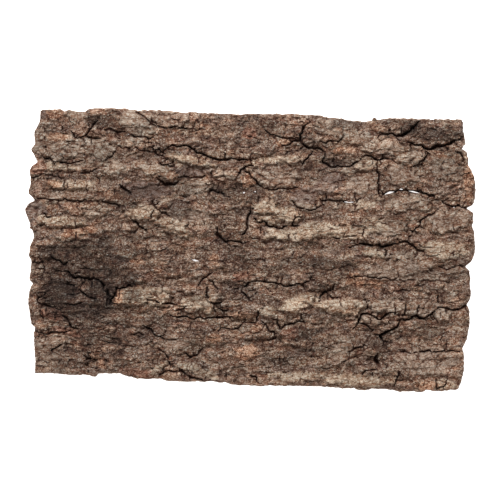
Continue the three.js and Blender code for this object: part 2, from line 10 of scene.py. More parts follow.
import bpy
import numpy as np
from bpy.props import FloatProperty, FloatVectorProperty, IntProperty, PointerProperty
from bpy.types import Operator, Panel, PropertyGroup
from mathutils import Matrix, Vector


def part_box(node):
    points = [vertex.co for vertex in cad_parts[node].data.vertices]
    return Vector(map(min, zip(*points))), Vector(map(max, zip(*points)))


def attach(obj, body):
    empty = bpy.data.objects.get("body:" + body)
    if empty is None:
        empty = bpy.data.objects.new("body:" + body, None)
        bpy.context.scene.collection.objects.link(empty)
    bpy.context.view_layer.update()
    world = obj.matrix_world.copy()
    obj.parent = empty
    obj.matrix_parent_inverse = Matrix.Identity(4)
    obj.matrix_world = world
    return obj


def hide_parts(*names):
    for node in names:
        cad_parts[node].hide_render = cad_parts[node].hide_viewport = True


bl_info = {
    "name": "Cork bark slab",
    "version": (1, 0, 0),
    "blender": (4, 5, 0),
    "location": "3D View > Sidebar > Cork bark",
    "description": "A slab of virgin cork bark with its plates, fissures and loose flakes",
    "category": "Add Mesh",
}

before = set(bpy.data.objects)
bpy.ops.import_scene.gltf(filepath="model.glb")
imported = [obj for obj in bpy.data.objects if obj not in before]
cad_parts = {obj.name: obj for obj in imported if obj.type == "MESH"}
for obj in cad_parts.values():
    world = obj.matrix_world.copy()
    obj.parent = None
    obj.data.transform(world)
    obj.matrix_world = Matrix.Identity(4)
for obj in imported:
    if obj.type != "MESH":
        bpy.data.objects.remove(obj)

MM = 0.001

# The board, the slab's middle on it, and the slab's size, in millimetres
BOARD_SIZE = 500
MIDDLE_RIGHT = 250.5
MIDDLE_DOWN = 249.9
LENGTH = 451.0
WIDTH = 285.0

# The outline. Long edges are (right, down), ends are (down, right).
FAR_EDGE = (
    (24, 109.5), (40, 109), (46, 108.5), (51, 111), (57, 109.5), (70, 111), (79, 111.5),
    (84, 109.5),
    (92, 108), (108, 107.5), (125, 108.5), (138, 110), (160, 110), (175, 111.5), (186, 113),
    (192, 112), (215, 113), (240, 114), (275, 113.5), (305, 114.5), (321, 115), (325, 117),
    (342, 118.5), (352, 120.5), (368, 121), (380, 119), (391, 117.5), (415, 118.5), (463, 119),
    (476, 119.5),
)
NEAR_EDGE = (
    (24, 373), (45, 373.5), (70, 375.5), (80, 374.5), (94, 376.5), (97, 373.5), (120, 373.5),
    (126, 376), (136, 378.5), (160, 379), (168, 381.5), (210, 382), (224, 383), (232, 385),
    (260, 386.5), (270, 385.5), (320, 386.5), (336, 388), (353, 388.5), (360, 390.5), (366, 390.5),
    (372, 389), (394, 390.5), (402, 392), (420, 391.5), (430, 392.5), (438, 390), (458, 391),
    (476, 390),
)
LEFT_END = (
    (107, 40), (118, 39.5), (122, 37.5), (129, 33.5), (136, 34.5), (141, 35), (148, 31),
    (152, 33.5),
    (157, 36), (161, 38), (165, 32.5), (170, 30), (184, 30), (190, 28), (193.5, 27.5), (197, 32),
    (200.5, 35), (203, 29.5), (209, 24.5), (215, 26.5), (226, 30.5), (234, 34), (238.5, 34),
    (243, 31), (256, 28.5), (260, 31), (271, 31), (276, 29), (281, 30), (283.5, 33), (288, 30),
    (299, 27.5), (309, 28.5), (320, 30), (329, 31.5), (332.5, 35.5), (340, 33.5), (362, 34),
    (373, 35),
)
RIGHT_END = (
    (118, 463.5), (121, 464.5), (133, 465.5), (138.5, 461.5), (143, 466.5), (151, 468.5),
    (160, 468.5), (166, 471), (176, 474.5), (186, 475.5), (198, 475), (205.5, 472.5), (208, 466),
    (213, 472.5), (222, 473), (226, 472), (233, 474.5), (246, 475), (256, 474), (262, 471),
    (266.5, 465), (271, 470), (283, 470), (295, 471), (301, 469.5), (304.5, 467), (312, 469.5),
    (323, 470), (335, 468), (345, 465), (350.5, 462.5), (360, 464.5), (374, 463.5), (386, 461.5),
    (391, 459),
)

# Broad hollows between the ribs: depth, half width, then the places along each one
SEAMS = (
    (2.6, 9, (34, 161), (90, 166), (150, 157), (215, 158), (255, 160), (305, 145), (340, 163),
     (378, 160), (430, 148), (466, 139)),
    (2.4, 8, (33, 200), (110, 203), (132, 193), (172, 184), (215, 192), (262, 188), (300, 192),
     (345, 201), (383, 195), (436, 199), (472, 208)),
    (2.0, 8, (33, 239), (100, 242), (145, 231), (220, 239), (247, 243), (300, 250), (350, 246),
     (427, 251), (468, 266)),
    (2.2, 9, (31, 283), (80, 278), (108, 290), (136, 286), (205, 278), (240, 289), (290, 286),
     (325, 292), (400, 281), (440, 268), (468, 266)),
    (2.6, 9, (34, 332), (75, 328), (110, 308), (160, 316), (230, 318), (281, 327), (305, 323),
     (356, 326), (380, 318), (405, 320), (440, 307), (468, 304)),
    (2.0, 8, (80, 333), (160, 336), (200, 350), (275, 338), (300, 352), (376, 360), (400, 351),
     (464, 350)),
)

# Fissures and cracks: depth, half width, then the places along each one
FISSURES = (
    (7, 2.2, (71, 131), (76, 137), (82, 138.5), (86, 134), (92, 127), (97, 121)),
    (7, 2.0, (85, 136), (93, 139), (101, 139.5)),
    (5, 3, (97, 129), (108, 130), (120, 132), (129, 133.5)),
    (4, 1.8, (129, 134), (136, 137), (146, 138), (154, 137)),
    (4, 1.6, (134, 111), (143, 116), (150, 122), (157, 127)),
    (5, 1.8, (150, 119), (158, 125.5), (168, 128), (177, 127), (186, 129), (192, 128)),
    (5, 1.8, (39, 156), (46, 158), (54, 159.5), (62, 162.5), (72, 163), (84, 162)),
    (5, 1.6, (107, 161), (111, 156), (116, 148.5)),
    (3, 1.3, (116, 148), (126, 148.5), (137, 149), (141, 151)),
    (6, 2.2, (150, 142), (157, 148), (163, 152), (168, 155)),
    (8, 2.4, (163, 151), (172, 147), (180, 145.5), (189, 146.5), (196, 151), (205, 154.5),
     (215, 158), (226, 159.5), (238, 159), (248, 160), (257, 158)),
    (5, 2, (140, 151), (150, 152), (158, 155), (166, 157)),
    (6, 2, (159, 160), (163, 164.5), (171, 166.5), (178, 164)),
    (4, 1.6, (80, 172), (87, 174.5), (94, 171), (100, 167)),
    (4, 1.6, (30, 178), (37, 177), (44, 174), (53, 175), (62, 178)),
    (4, 1.8, (33, 199.5), (45, 199), (62, 200), (82, 200.5), (98, 201.5)),
    (4, 2.5, (98, 201), (110, 203), (124, 206)),
    (8, 3.2, (120, 186), (125, 191), (132, 194)),
    (8, 3.5, (158, 179), (165, 183), (172, 185), (179, 182)),
    (5, 2.5, (177, 178), (190, 178.5), (202, 177.5), (211, 173)),
    (5, 1.6, (212, 171), (213, 179)),
    (7, 2.2, (237, 178), (240, 171), (247, 167), (256, 164)),
    (6, 2, (240, 171), (250, 174), (256, 181), (263, 188)),
    (4, 1.8, (263, 188), (275, 189.5), (289, 188.5), (303, 188)),
    (5, 2.5, (208, 196), (213, 190), (219, 192), (229, 197)),
    (9, 3.5, (310, 122), (305, 126), (300, 134), (300, 141), (308, 146), (318, 150), (326, 153)),
    (8, 3.5, (326, 153), (322, 160), (330, 167), (342, 168), (351, 166), (357, 162), (363, 157)),
    (6, 2.2, (302, 166), (306, 160), (311, 154), (316, 149)),
    (6, 1.8, (320, 141), (328, 143), (338, 142), (343, 137), (346, 135)),
    (6, 2.5, (362, 156), (370, 157), (377, 160), (385, 159), (392, 160)),
    (9, 4, (378, 133), (388, 134), (398, 135), (405, 133), (412, 127), (420, 121)),
    (10, 4, (408, 141), (418, 146), (428, 148.5), (440, 146.5), (451, 143), (463, 138.5)),
    (6, 2, (424, 149), (427.5, 155), (425, 161), (418, 164), (410, 167)),
    (5, 2.4, (455, 150), (461, 157), (463, 163)),
    (6, 2.6, (376, 160), (377, 168), (380, 175), (378, 184), (378, 192), (382, 198)),
    (9, 2.6, (383, 196), (390, 192.5), (400, 190.5), (409, 190.5), (418, 192), (427, 194.5),
     (438, 199)),
    (5, 1.8, (438, 199), (446, 205), (455, 207), (469, 208)),
    (7, 2.2, (318, 200), (330, 200), (344, 201.5), (356, 202), (361, 198)),
    (6, 2.6, (291, 200), (296, 206), (303, 210), (314, 209), (324, 204)),
    (7, 2.4, (251, 207), (249.5, 215), (248, 222), (246, 230), (241, 238)),
    (7, 2.4, (252, 218), (260, 222.5), (265, 222), (268, 226), (275, 227), (282, 229.5),
     (285, 226.5), (291, 225)),
    (6, 1.8, (291, 225), (294, 227.5), (299, 228.5)),
    (5, 1.6, (291, 225), (294, 218.5), (301, 216)),
    (7, 4, (217, 228), (219, 237), (226, 242), (238, 241), (246, 246)),
    (6, 2.4, (150, 203), (154, 202), (155, 208), (162, 212), (169, 216)),
    (5, 1.4, (153, 210), (152, 218)),
    (7, 2.6, (131, 219), (136, 223), (142, 229), (149, 232.5)),
    (8, 2.6, (350, 247), (358, 245), (368, 244), (380, 246), (392, 245), (402, 242), (408, 241.5),
     (413, 246), (417, 250), (427, 251)),
    (7, 2.6, (437, 209), (430, 214), (421, 220.5), (418, 227), (412, 231), (408, 236)),
    (4, 1.3, (333, 237), (342, 238.5), (350, 236.5), (357, 236)),
    (6, 1.4, (384, 250), (385.5, 258)),
    (7, 2.6, (318, 301), (321, 295), (325, 291), (329, 295), (334, 301)),
    (5, 1.8, (336, 282), (332, 289), (326, 291)),
    (8, 2.4, (353, 330), (357, 325), (360, 320), (361.5, 314), (368, 313.5), (376, 317),
     (380, 318), (384, 314.5), (390, 312), (397, 314)),
    (10, 3.5, (396, 320), (404, 320), (411, 319.5), (416, 315), (423, 318), (429, 315), (433, 311),
     (440, 307)),
    (6, 2.2, (440, 307), (449, 309), (459, 309), (463, 305), (469, 304.5)),
    (10, 4, (400, 321), (396, 327), (388, 330), (380, 336), (384, 344)),
    (5, 1.6, (361, 323), (368, 325.5), (374, 331)),
    (7, 2.4, (229, 287), (236, 290), (243, 288), (250, 282.5), (260, 281.5), (275, 283),
     (288, 286), (300, 283.5), (313, 280)),
    (5, 2, (241, 290), (246, 295), (251, 302)),
    (5, 1.8, (197, 286), (202, 281), (208, 275), (213, 272)),
    (5, 1.8, (208, 280), (214, 281.5), (218, 287), (220, 292)),
    (8, 2.4, (207, 288), (206, 295), (209, 301), (215, 303), (222, 301)),
    (8, 2.2, (218, 306), (222, 310.5), (229, 309)),
    (6, 2, (176, 311), (182, 309.5), (187, 306)),
    (6, 2.2, (144, 300), (155, 300), (161, 303), (170, 303.5), (177, 305)),
    (6, 3, (170, 316), (182, 317), (196, 318.5), (210, 318), (224, 317.5), (234, 318)),
    (5, 1.8, (218, 329), (230, 329), (239, 329), (244, 322), (253, 322.5), (260, 320)),
    (5, 2, (262, 322), (268, 329), (275, 333), (276, 338), (268, 341)),
    (6, 1.8, (271, 317), (277, 319), (281, 328), (290, 325), (298, 322), (305, 324)),
    (5, 1.4, (238.5, 311), (237, 318)),
    (5, 1.4, (258.5, 312), (258.5, 322)),
    (5, 1.4, (302, 312), (302, 320)),
    (8, 3.5, (60, 270), (68, 272), (76, 277), (86, 278.5), (94, 277.5), (100, 281), (105, 288),
     (110, 296), (107, 306)),
    (6, 2, (76, 287), (82, 291), (87, 297), (96, 299.5)),
    (6, 2.4, (46, 293), (39, 297), (40, 304), (50, 307), (62, 310)),
    (5, 1.6, (43, 305), (41.5, 312), (44, 318)),
    (5, 2.4, (62, 314), (67, 320), (72, 327), (80, 331)),
    (5, 2, (50, 256), (57, 261), (64, 264), (69, 261)),
    (4, 1.6, (30, 260), (38, 263), (44, 263), (45, 271), (43, 279)),
    (5, 2, (54, 272), (60, 270)),
    (4, 1.6, (70, 279), (68, 285), (76, 287)),
    (4, 1.6, (84, 279), (83, 286)),
    (4, 1.8, (66, 303), (75, 305), (84, 301)),
    (8, 3, (136, 286), (126, 287), (117, 289), (113, 297), (110, 305)),
    (5, 1.6, (33, 332.5), (46, 333), (60, 333), (72, 331)),
    (6, 2.4, (52, 351), (57, 348), (62, 344.5)),
    (6, 2.6, (84, 360), (90, 359.5), (97, 361)),
    (6, 2.6, (144, 325), (151, 331), (158, 336), (166, 341)),
    (4, 1.8, (131, 335), (138, 332), (145, 334)),
    (4, 1.8, (180, 353), (186, 353.5), (190, 357.5), (197, 354), (204, 347)),
    (4, 1.8, (158, 350), (166, 352), (170, 358), (171, 366)),
    (6, 3, (160, 375), (166, 371.5), (178, 372), (190, 377), (205, 380), (222, 382)),
    (5, 2, (250, 376), (255, 377), (257, 383)),
    (4, 1.8, (376, 369), (366, 371), (359, 376)),
    (5, 2.2, (398, 370), (398, 378), (396, 386)),
    (5, 1.6, (436, 381), (438, 388), (445, 386), (446.5, 379)),
    (8, 5, (378, 352), (375, 360), (380, 366)),
    (4, 1.8, (342, 363), (350, 359), (358, 356)),
    (5, 2, (348, 352), (356, 349), (366, 345)),
    (4, 1.5, (400, 351), (415, 353), (430, 350), (445, 351), (465, 350.5)),
    (5, 2.2, (262, 129), (267, 134), (276, 136.5), (288, 138), (297, 139)),
    (4, 1.6, (280, 147), (289, 144), (299, 141.5)),
    (4, 1.6, (283, 156), (290, 152.5), (300, 150)),
    (4, 1.6, (466, 267), (458, 266), (449, 269), (440, 267), (433, 264)),
    (3, 1.4, (345, 277), (357, 276), (372, 278), (395, 279), (420, 280), (445, 280)),
    (4, 1.6, (394, 293), (402, 290), (408, 288)),
    (4, 1.6, (414, 286), (424, 284)),
    (5, 1.6, (438, 293), (437.5, 300), (440, 304)),
    (6, 1.4, (404.5, 302), (405, 316)),
    (6, 1.4, (417, 304), (417, 312)),
    (6, 1.4, (364, 299), (366, 305), (365, 312)),
    (3, 1.2, (44, 128), (46, 140)),
    (3, 1.2, (61, 126), (62, 132)),
    (3, 1.2, (65, 181), (65, 190)),
    (4, 1.3, (76, 221), (77, 231), (78, 240)),
    (4, 1.3, (44, 212), (47, 217), (52, 217)),
    (3, 1.2, (235, 142), (240, 146)),
    (3, 1.2, (250, 147), (255, 146)),
    (3, 1.2, (226, 373), (226, 380)),
    (3, 1.2, (452, 250), (452, 257)),
    (3, 1.2, (363, 230), (363, 238)),
    (3, 1.2, (190, 125), (197, 130), (205, 128)),
)

# Plates: right, down, half length, half width, turn in degrees, lift, and the tint of the plate:
# grey (weathered), tan (lichen), fresh (bare cork), red, dark, plum (smooth purple brown) or pink
PLATES = (
    (45, 114, 6, 6, 0, 1, "plum"), (56, 114, 9, 5, 0, 1.5, "fresh"), (78, 116, 12, 5, 0, 2, "grey"),
    (98, 112, 10, 4, -10, 2.5, "fresh"), (108, 122, 17, 8, 5, -2, "dark"),
    (139, 124, 20, 13, 20, 4, "grey"), (157, 117, 8, 8, 0, 3, "pink"),
    (175, 118, 14, 9, 0, 3, "pink"), (62, 147, 28, 14, 5, 4, "grey"),
    (58, 137, 10, 5, 0, 0, "fresh"), (42, 140, 8, 17, 0, 2, "grey"),
    (97, 147, 20, 11, 15, 3, "grey"), (128, 143, 14, 6, -5, 3, "grey"),
    (55, 167, 22, 4, 0, 2, "tan"), (88, 165, 9, 7, 0, 3, "grey"), (38, 169, 9, 8, 0, 3, "red"),
    (112, 168, 18, 8, 10, 2.5, "grey"), (72, 185, 26, 5.5, 3, 4, "tan"),
    (54, 184, 9, 4, 0, 0, "fresh"), (113, 196, 9, 5, 0, 1.5, "fresh"),
    (68, 197, 33, 5, 0, 1, "pink"), (37, 212, 12, 10, 0, 3, "plum"),
    (98, 212, 18, 5, -15, 4, "grey"), (62, 221, 26, 6, 5, 3.5, "tan"),
    (72, 233, 10, 6, 0, 1.5, "fresh"), (89, 230, 11, 5, -15, 1.5, "fresh"),
    (144, 213, 20, 8, -5, 5, "tan"), (175, 227, 19, 8, 25, 5, "tan"),
    (164, 203, 7, 5, -20, 3, "grey"), (150, 190, 27, 9, 5, -1.5, "plum"),
    (152, 170, 22, 5, 15, 4, "grey"), (173, 177, 6, 5, 0, 4.5, "fresh"),
    (190, 160, 26, 5, 12, 5, "tan"), (194, 170, 16, 7, 0, -2.5, "plum"),
    (226, 174, 12, 5, 0, 5, "grey"), (192, 187, 22, 8, -3, 3, "grey"),
    (228, 187, 14, 9, 0, -2, "dark"), (248, 181, 6, 9, -30, 2, "fresh"),
    (281, 160, 24, 3.5, 0, 5, "tan"), (281, 177, 23, 10, 0, 2.5, "pink"),
    (250, 165, 9, 4, -35, 4, "tan"), (308, 194, 16, 8, -20, 1.5, "plum"),
    (330, 184, 16, 9, -35, 2.5, "plum"), (266, 207, 13, 7, -12, 4.5, "tan"),
    (288, 214, 14, 8, 14, 5, "tan"), (270, 221, 12, 5, 8, 4, "tan"), (285, 235, 26, 6, 3, 4, "tan"),
    (316, 229, 20, 9, -6, 5, "tan"), (347, 233, 20, 8, 6, 4.5, "tan"),
    (373, 226, 14, 8, -8, 5, "tan"), (305, 207, 12, 5, 10, 2.5, "pink"),
    (388, 228, 20, 10, 0, 4, "grey"), (335, 127, 22, 11, 10, 3, "grey"),
    (372, 143, 32, 9, 15, 4, "grey"), (405, 155, 22, 8, 10, 4, "grey"),
    (338, 151, 7, 4, -20, 4, "fresh"), (366, 164, 13, 6, 0, 5, "tan"),
    (350, 172, 9, 4, 0, 3, "grey"), (448, 168, 20, 13, 20, 2.5, "grey"),
    (468, 185, 6, 20, 0, 0, "fresh"), (402, 175, 19, 10, 0, 3, "pink"),
    (360, 185, 16, 12, 0, 1, "pink"), (364, 205, 12, 5, 0, 2, "tan"),
    (408, 204, 26, 8, 0, 3, "grey"), (448, 222, 22, 12, -10, 3, "pink"),
    (445, 250, 28, 8, 3, 3, "tan"), (371, 253, 14, 5, 5, 3, "tan"),
    (400, 256, 14, 5, 0, 2.5, "grey"), (405, 272, 50, 11, 0, 1.5, "pink"),
    (355, 280, 12, 8, 10, 1, "fresh"), (376, 283, 6, 5, 0, 0.5, "fresh"),
    (145, 296, 29, 10, 2, 5, "tan"), (198, 303, 20, 9, 5, 5, "tan"), (213, 294, 7, 5, 0, 5, "grey"),
    (240, 315, 16, 3.5, 0, 3.5, "fresh"), (267, 311, 12, 6, 0, 4, "tan"),
    (297, 303, 22, 7, -22, 5, "tan"), (342, 307, 27, 9, 0, 5, "tan"),
    (385, 305, 17, 7, 0, 4.5, "grey"), (411, 309, 8, 9, 0, 4.5, "grey"),
    (424, 309, 8, 8, -10, 4, "pink"), (440, 314, 9, 6, 20, 4, "grey"),
    (370, 320, 10, 4, 25, 4, "grey"), (118.5, 296, 5, 9, 10, 3, "fresh"),
    (78, 279, 42, 30, 0, -1, "dark"), (52, 314, 14, 6, 20, 2.5, "red"),
    (66, 331, 15, 4, 15, 2, "red"), (48, 352, 15, 17, 0, 2.5, "pink"),
    (100, 361, 12, 5, 50, 3, "fresh"), (91, 364, 7, 4, 0, -2, "dark"),
    (160, 367, 11, 4, -35, 4, "tan"), (135, 372, 18, 5, 5, 1.5, "red"),
    (198, 370, 24, 5, 22, 3.5, "tan"), (300, 376, 32, 5, 0, 3.5, "tan"),
    (360, 380, 40, 6, 2, 4, "tan"), (247, 352, 12, 8, 0, 1, "fresh"),
    (213, 338, 8, 5, 0, 1, "fresh"), (175, 340, 18, 8, 0, 1.5, "pink"),
    (289, 333, 10, 6, 0, 2, "red"), (256, 328, 7, 5, 0, 1.5, "fresh"),
    (345, 343, 14, 7, 0, 2, "grey"), (345, 355, 14, 6, 0, 2, "grey"),
    (425, 360, 30, 16, 0, 1.5, "pink"), (445, 384, 10, 6, 0, 3, "tan"),
    (425, 386, 12, 5, 0, 2.5, "fresh"), (242, 276, 10, 5, -10, 2, "red"),
    (214, 260, 6, 8, 0, 0.5, "fresh"), (138, 262, 9, 4, 0, 1, "fresh"),
    (158, 270, 7, 3, 0, 1, "fresh"), (250, 133, 9, 6, 0, 2, "red"),
    (282, 143, 8, 4, -10, 1.5, "fresh"), (204, 126, 8, 3, 0, 1, "fresh"),
    (435, 154, 10, 4, 15, 2, "fresh"), (452, 296, 10, 4, -50, 2, "grey"),
    (405, 127, 20, 8, 0, -1.5, "dark"), (437, 135, 26, 8, 0, 1, "dark"),
    (340, 160, 20, 8, 0, -1.2, "dark"), (318, 148, 14, 8, 0, -2, "dark"),
    (380, 340, 14, 12, 0, -2, "dark"), (376, 360, 10, 9, 0, -3, "dark"),
    (236, 238, 20, 9, 0, -2, "dark"), (312, 268, 14, 10, 0, -1, "dark"),
    (325, 290, 10, 8, 0, -3, "dark"), (310, 332, 12, 6, 0, -2, "dark"),
    (298, 352, 14, 7, 0, -2, "dark"), (157, 153, 14, 6, 0, -2, "dark"),
    (185, 215, 30, 8, 0, 0, "pink"),
)

# The tints of plates, in the order of the masks
TINTS = ("grey", "tan", "fresh", "red", "dark", "plum", "pink")

# Broad tones over the bark: right, down, half length, half width, and tone: below 0 darker, above 0
# paler. They are partly the bark's own tone and partly painted shade and light, such as the dark tones in
# the shadows under overhanging lips.
TONES = (
    (46, 136, 15, 18, -0.25), (58, 153, 12, 7, -0.3), (100, 152, 16, 14, -0.5),
    (60, 114, 30, 6, -0.3), (101, 120, 16, 9, -0.55), (180, 122, 14, 9, 0.45),
    (205, 116, 18, 6, -0.2), (222, 128, 14, 8, -0.35), (250, 124, 16, 12, -0.45),
    (265, 124, 11, 10, -0.55), (298, 120, 14, 9, 0.9), (325, 130, 16, 10, 0.3),
    (350, 120, 22, 10, -0.8), (394, 120, 22, 7, -0.45), (411, 129, 14, 8, -1.0),
    (440, 135, 26, 9, -0.8), (134, 146, 12, 8, 0.3), (142, 128, 14, 7, -0.35),
    (165, 150, 16, 7, -0.2), (304, 142, 12, 14, -0.3), (175, 128, 12, 7, 0.5),
    (290, 140, 10, 7, 0.4), (322, 148, 12, 7, -0.2), (332, 161, 20, 7, -0.6),
    (350, 146, 20, 7, 0.8), (336, 152, 10, 6, 0.5), (382, 146, 16, 12, 0.8),
    (404, 151, 20, 8, 0.35), (416, 157, 12, 7, 0.3), (440, 152, 18, 6, -0.4),
    (448, 165, 20, 12, -0.3), (436, 116, 26, 7, -0.5), (468, 172, 8, 32, 0.5),
    (462, 352, 12, 30, 0.8), (250, 158, 20, 10, 0.6), (186, 161, 24, 6, 0.45),
    (218, 167, 18, 7, 0.5), (282, 162, 22, 6, 0.5), (300, 158, 8, 8, 0.3), (282, 182, 18, 9, 0.6),
    (248, 162, 16, 9, 0.9), (310, 172, 14, 12, -0.35), (150, 174, 16, 7, 0.25),
    (85, 175, 26, 6, -0.3), (178, 178, 14, 8, -0.4), (386, 164, 12, 7, 0.6), (228, 172, 16, 8, 0.9),
    (224, 177, 12, 6, 0.45), (244, 178, 10, 7, 0.3), (40, 202, 12, 8, -0.3),
    (66, 176, 20, 6, -0.35), (230, 192, 24, 9, -0.6), (252, 192, 12, 8, -0.45),
    (296, 189, 18, 8, 0.45), (332, 186, 16, 11, 0.5), (366, 192, 14, 7, 0.3),
    (394, 178, 16, 8, -0.2), (384, 200, 18, 7, -0.3), (124, 200, 18, 11, -0.75),
    (148, 192, 18, 8, -0.45), (178, 192, 16, 8, -0.25), (240, 208, 14, 8, -0.3),
    (181, 210, 16, 10, -0.7), (188, 188, 12, 6, -0.5), (182, 176, 14, 6, -0.4),
    (60, 215, 24, 8, 0.45), (142, 210, 16, 7, 0.25), (198, 226, 12, 12, 0.4),
    (268, 208, 14, 8, 0.4), (290, 215, 14, 8, 0.5), (262, 230, 18, 9, 0.8), (300, 232, 22, 7, 0.45),
    (344, 230, 36, 8, 0.4), (360, 205, 14, 6, 0.3), (388, 228, 16, 8, 0.35),
    (448, 206, 22, 12, 0.8), (460, 188, 10, 10, 0.6), (448, 238, 22, 10, 0.3),
    (98, 238, 20, 7, -0.45), (118, 228, 10, 6, -0.3), (136, 238, 18, 8, -0.45),
    (132, 222, 8, 5, 0.25), (222, 232, 14, 14, -0.35), (84, 248, 38, 11, -1.0),
    (56, 250, 16, 9, -1.1), (72, 262, 36, 12, -0.85), (76, 276, 34, 14, -0.8),
    (100, 290, 20, 14, -1.3), (60, 290, 24, 14, -1.3), (98, 306, 20, 12, -1.15),
    (70, 308, 28, 10, -1.3), (56, 298, 18, 8, -1.3), (114, 268, 18, 14, -0.9),
    (132, 252, 16, 8, -0.55), (128, 276, 16, 8, -0.7), (46, 282, 10, 14, -0.65),
    (106, 294, 7, 12, -1.35), (127, 283, 14, 5, -1.05), (148, 262, 12, 12, -0.5),
    (180, 253, 26, 10, -0.2), (246, 248, 14, 9, -0.35), (246, 264, 12, 8, -0.4),
    (312, 262, 26, 9, -0.7), (284, 268, 24, 8, -0.4), (240, 252, 20, 12, -0.45),
    (322, 274, 22, 9, -0.4), (348, 264, 18, 9, -0.55), (392, 246, 16, 5, -0.2),
    (418, 272, 16, 8, -0.35), (422, 230, 14, 10, 0.5), (365, 212, 20, 8, 0.6),
    (345, 236, 24, 7, 0.7), (448, 274, 16, 7, -0.2), (180, 293, 18, 8, 0.35),
    (118.5, 296, 4, 9, 1.0), (133, 294, 10, 7, -0.85), (166, 303, 20, 9, 0.6),
    (150, 266, 16, 8, -0.3), (148, 284, 14, 7, -0.3), (180, 303, 14, 7, 0.45),
    (205, 305, 12, 6, 0.35), (234, 288, 16, 10, -0.55), (248, 292, 14, 9, -0.5),
    (198, 296, 12, 6, -0.4), (304, 306, 24, 9, 1.0), (298, 320, 30, 6, 0.3), (338, 304, 22, 8, 0.4),
    (382, 303, 22, 8, 0.55), (412, 300, 20, 8, 0.4), (322, 288, 10, 7, -0.35),
    (458, 296, 10, 10, 0.4), (362, 274, 14, 8, 0.6), (362, 286, 16, 7, 0.4),
    (455, 322, 14, 10, 0.25), (390, 288, 24, 6, 0.3), (154, 322, 18, 9, -0.45),
    (180, 316, 14, 6, -0.2), (216, 176, 20, 8, 0.7), (206, 236, 20, 8, 0.4), (344, 153, 16, 7, 1.0),
    (328, 237, 14, 6, 0.7), (130, 224, 10, 6, 0.7), (88, 322, 38, 8, -0.65),
    (128, 320, 14, 9, -0.5), (102, 338, 28, 10, -0.65), (150, 334, 18, 9, -0.5),
    (196, 334, 20, 9, -0.3), (122, 344, 16, 12, -0.45), (274, 332, 14, 8, -0.25),
    (306, 334, 18, 9, -0.7), (316, 346, 14, 8, -0.5), (364, 321, 24, 7, 0.9),
    (174, 306, 18, 9, 0.9), (166, 296, 12, 8, 0.6), (362, 311, 18, 8, 1.0),
    (382, 344, 16, 12, -0.5), (366, 354, 16, 8, 0.5), (424, 332, 26, 7, -0.4),
    (392, 336, 12, 8, -0.4), (425, 356, 22, 12, 0.5), (462, 346, 10, 14, 0.9),
    (246, 350, 14, 10, 0.25), (72, 356, 30, 12, -0.5), (42, 348, 10, 14, -0.2),
    (122, 366, 16, 9, -0.4), (196, 368, 18, 7, -0.3), (188, 352, 12, 9, -0.25),
    (282, 357, 20, 8, -0.45), (345, 374, 30, 7, 0.25), (240, 382, 60, 8, 1.3),
    (160, 380, 24, 9, 1.2), (72, 383, 24, 8, 1.4), (245, 368, 18, 7, 0.6), (150, 379, 12, 8, 0.8),
    (325, 384, 56, 7, 0.9), (430, 384, 40, 7, 0.9), (440, 376, 30, 12, 0.55),
    (458, 380, 20, 16, 1.3),
)

# The tone is stored as half of 1 plus this share of it
TONE_SHARE = 0.3

# Splits right through the slab: width, then the places along each one's middle
SPLITS = (
    (2.3, (384, 194.6), (390, 192.4), (395, 191.4)),
    (1.7, (399, 189.4), (404, 188.9)),
    (2.0, (407, 190.6), (414, 191.7), (426, 194.7)),
    (1.8, (343, 201.6), (349, 202), (356, 202)),
    (1.8, (191, 259.6), (195, 260.4), (200, 261.2)),
    (2.3, (242.4, 192.9), (243.9, 192.6), (245.4, 192.4)),
    (1.5, (253.8, 191.9), (255.2, 191.5), (256.6, 191.6)),
    (1.4, (126.2, 133.4), (127.8, 134), (129.4, 134.7)),
    (2.1, (452.7, 207.5), (454.2, 207.2), (455.7, 207.5)),
)

# The even grid of board places that the bark face is worked out on
GRID_STEP = 0.7
GRID_ACROSS = np.arange(14.0, 487.0, GRID_STEP)
GRID_DOWN = np.arange(98.0, 403.0, GRID_STEP)

# The mesh: vertices along and across the bark face, and one in four of them on the inner face
COLUMNS = 356
ROWS = 228
INNER_EVERY = 4
RIM_REACH = 90.0
SHOULDER_OUT = 1.6
SHARP_ANGLE = np.radians(32)
# Small swings that nibble at the rim
NIBBLE_RIGHT = (3.0, 2.6, 0.45, 101)
NIBBLE_DOWN = (3.0, 3.0, 0.4, 102)
# How vertices are drawn to cracks: steps looked at, how near they must lie, and the least cell left
SPOT_STEP = 0.2
MISS_LIMIT = 0.25
LEAST_CELL = 0.12
# The sawn side, from the rim down: share of the height there, and how far it stands out
SIDE_PROFILE = (
    (0.92, 0.9), (0.82, 1.3), (0.7, 1.6), (0.58, 1.7), (0.46, 1.6), (0.34, 1.4), (0.22, 1.2),
    (0.1, 0.9), (0.0, 0.8),
)

# Board places waver a little before the bark is laid out on them.
# Each swing is its size along and across the grain, its height and its seed.
WAVERS_RIGHT = ((8, 8, 1.6, 1), (3.1, 2.6, 0.7, 31))
WAVERS_DOWN = ((9, 6, 1.2, 2), (3.4, 2.4, 0.6, 32))
RIB_SWINGS = ((65, 24, 1.6, 3), (16, 8, 0.9, 4))
# How much of each layer of rough noise the next finer one keeps
LAYER_KEEP = 0.55

# The inner face is a shallow arch across the grain. Some cork is always left over it.
ARCH_RISE = 3.6
ARCH_HALF = 116.0
INNER_SWING = (70, 30, 0.8, 5)
INNER_GRAIN = 0.25
CORK_UNDER_BARK = 4.5
CORK_UNDER_CRACKS = 4.0

# Scales of three sizes: length, width and seed. Their grids are bent, and set off from each other.
SCALE_BEND_RIGHT = (13, 9, 3.5, 41)
SCALE_BEND_DOWN = (17, 7, 2.2, 42)
LARGE_SCALES = (17.0, 7.5, 51)
MIDDLING_SCALES = (7.2, 4.4, 61)
SMALL_SCALES = (3.9, 2.5, 66)
MIDDLING_SHIFT = 5
SMALL_SHIFT = 9
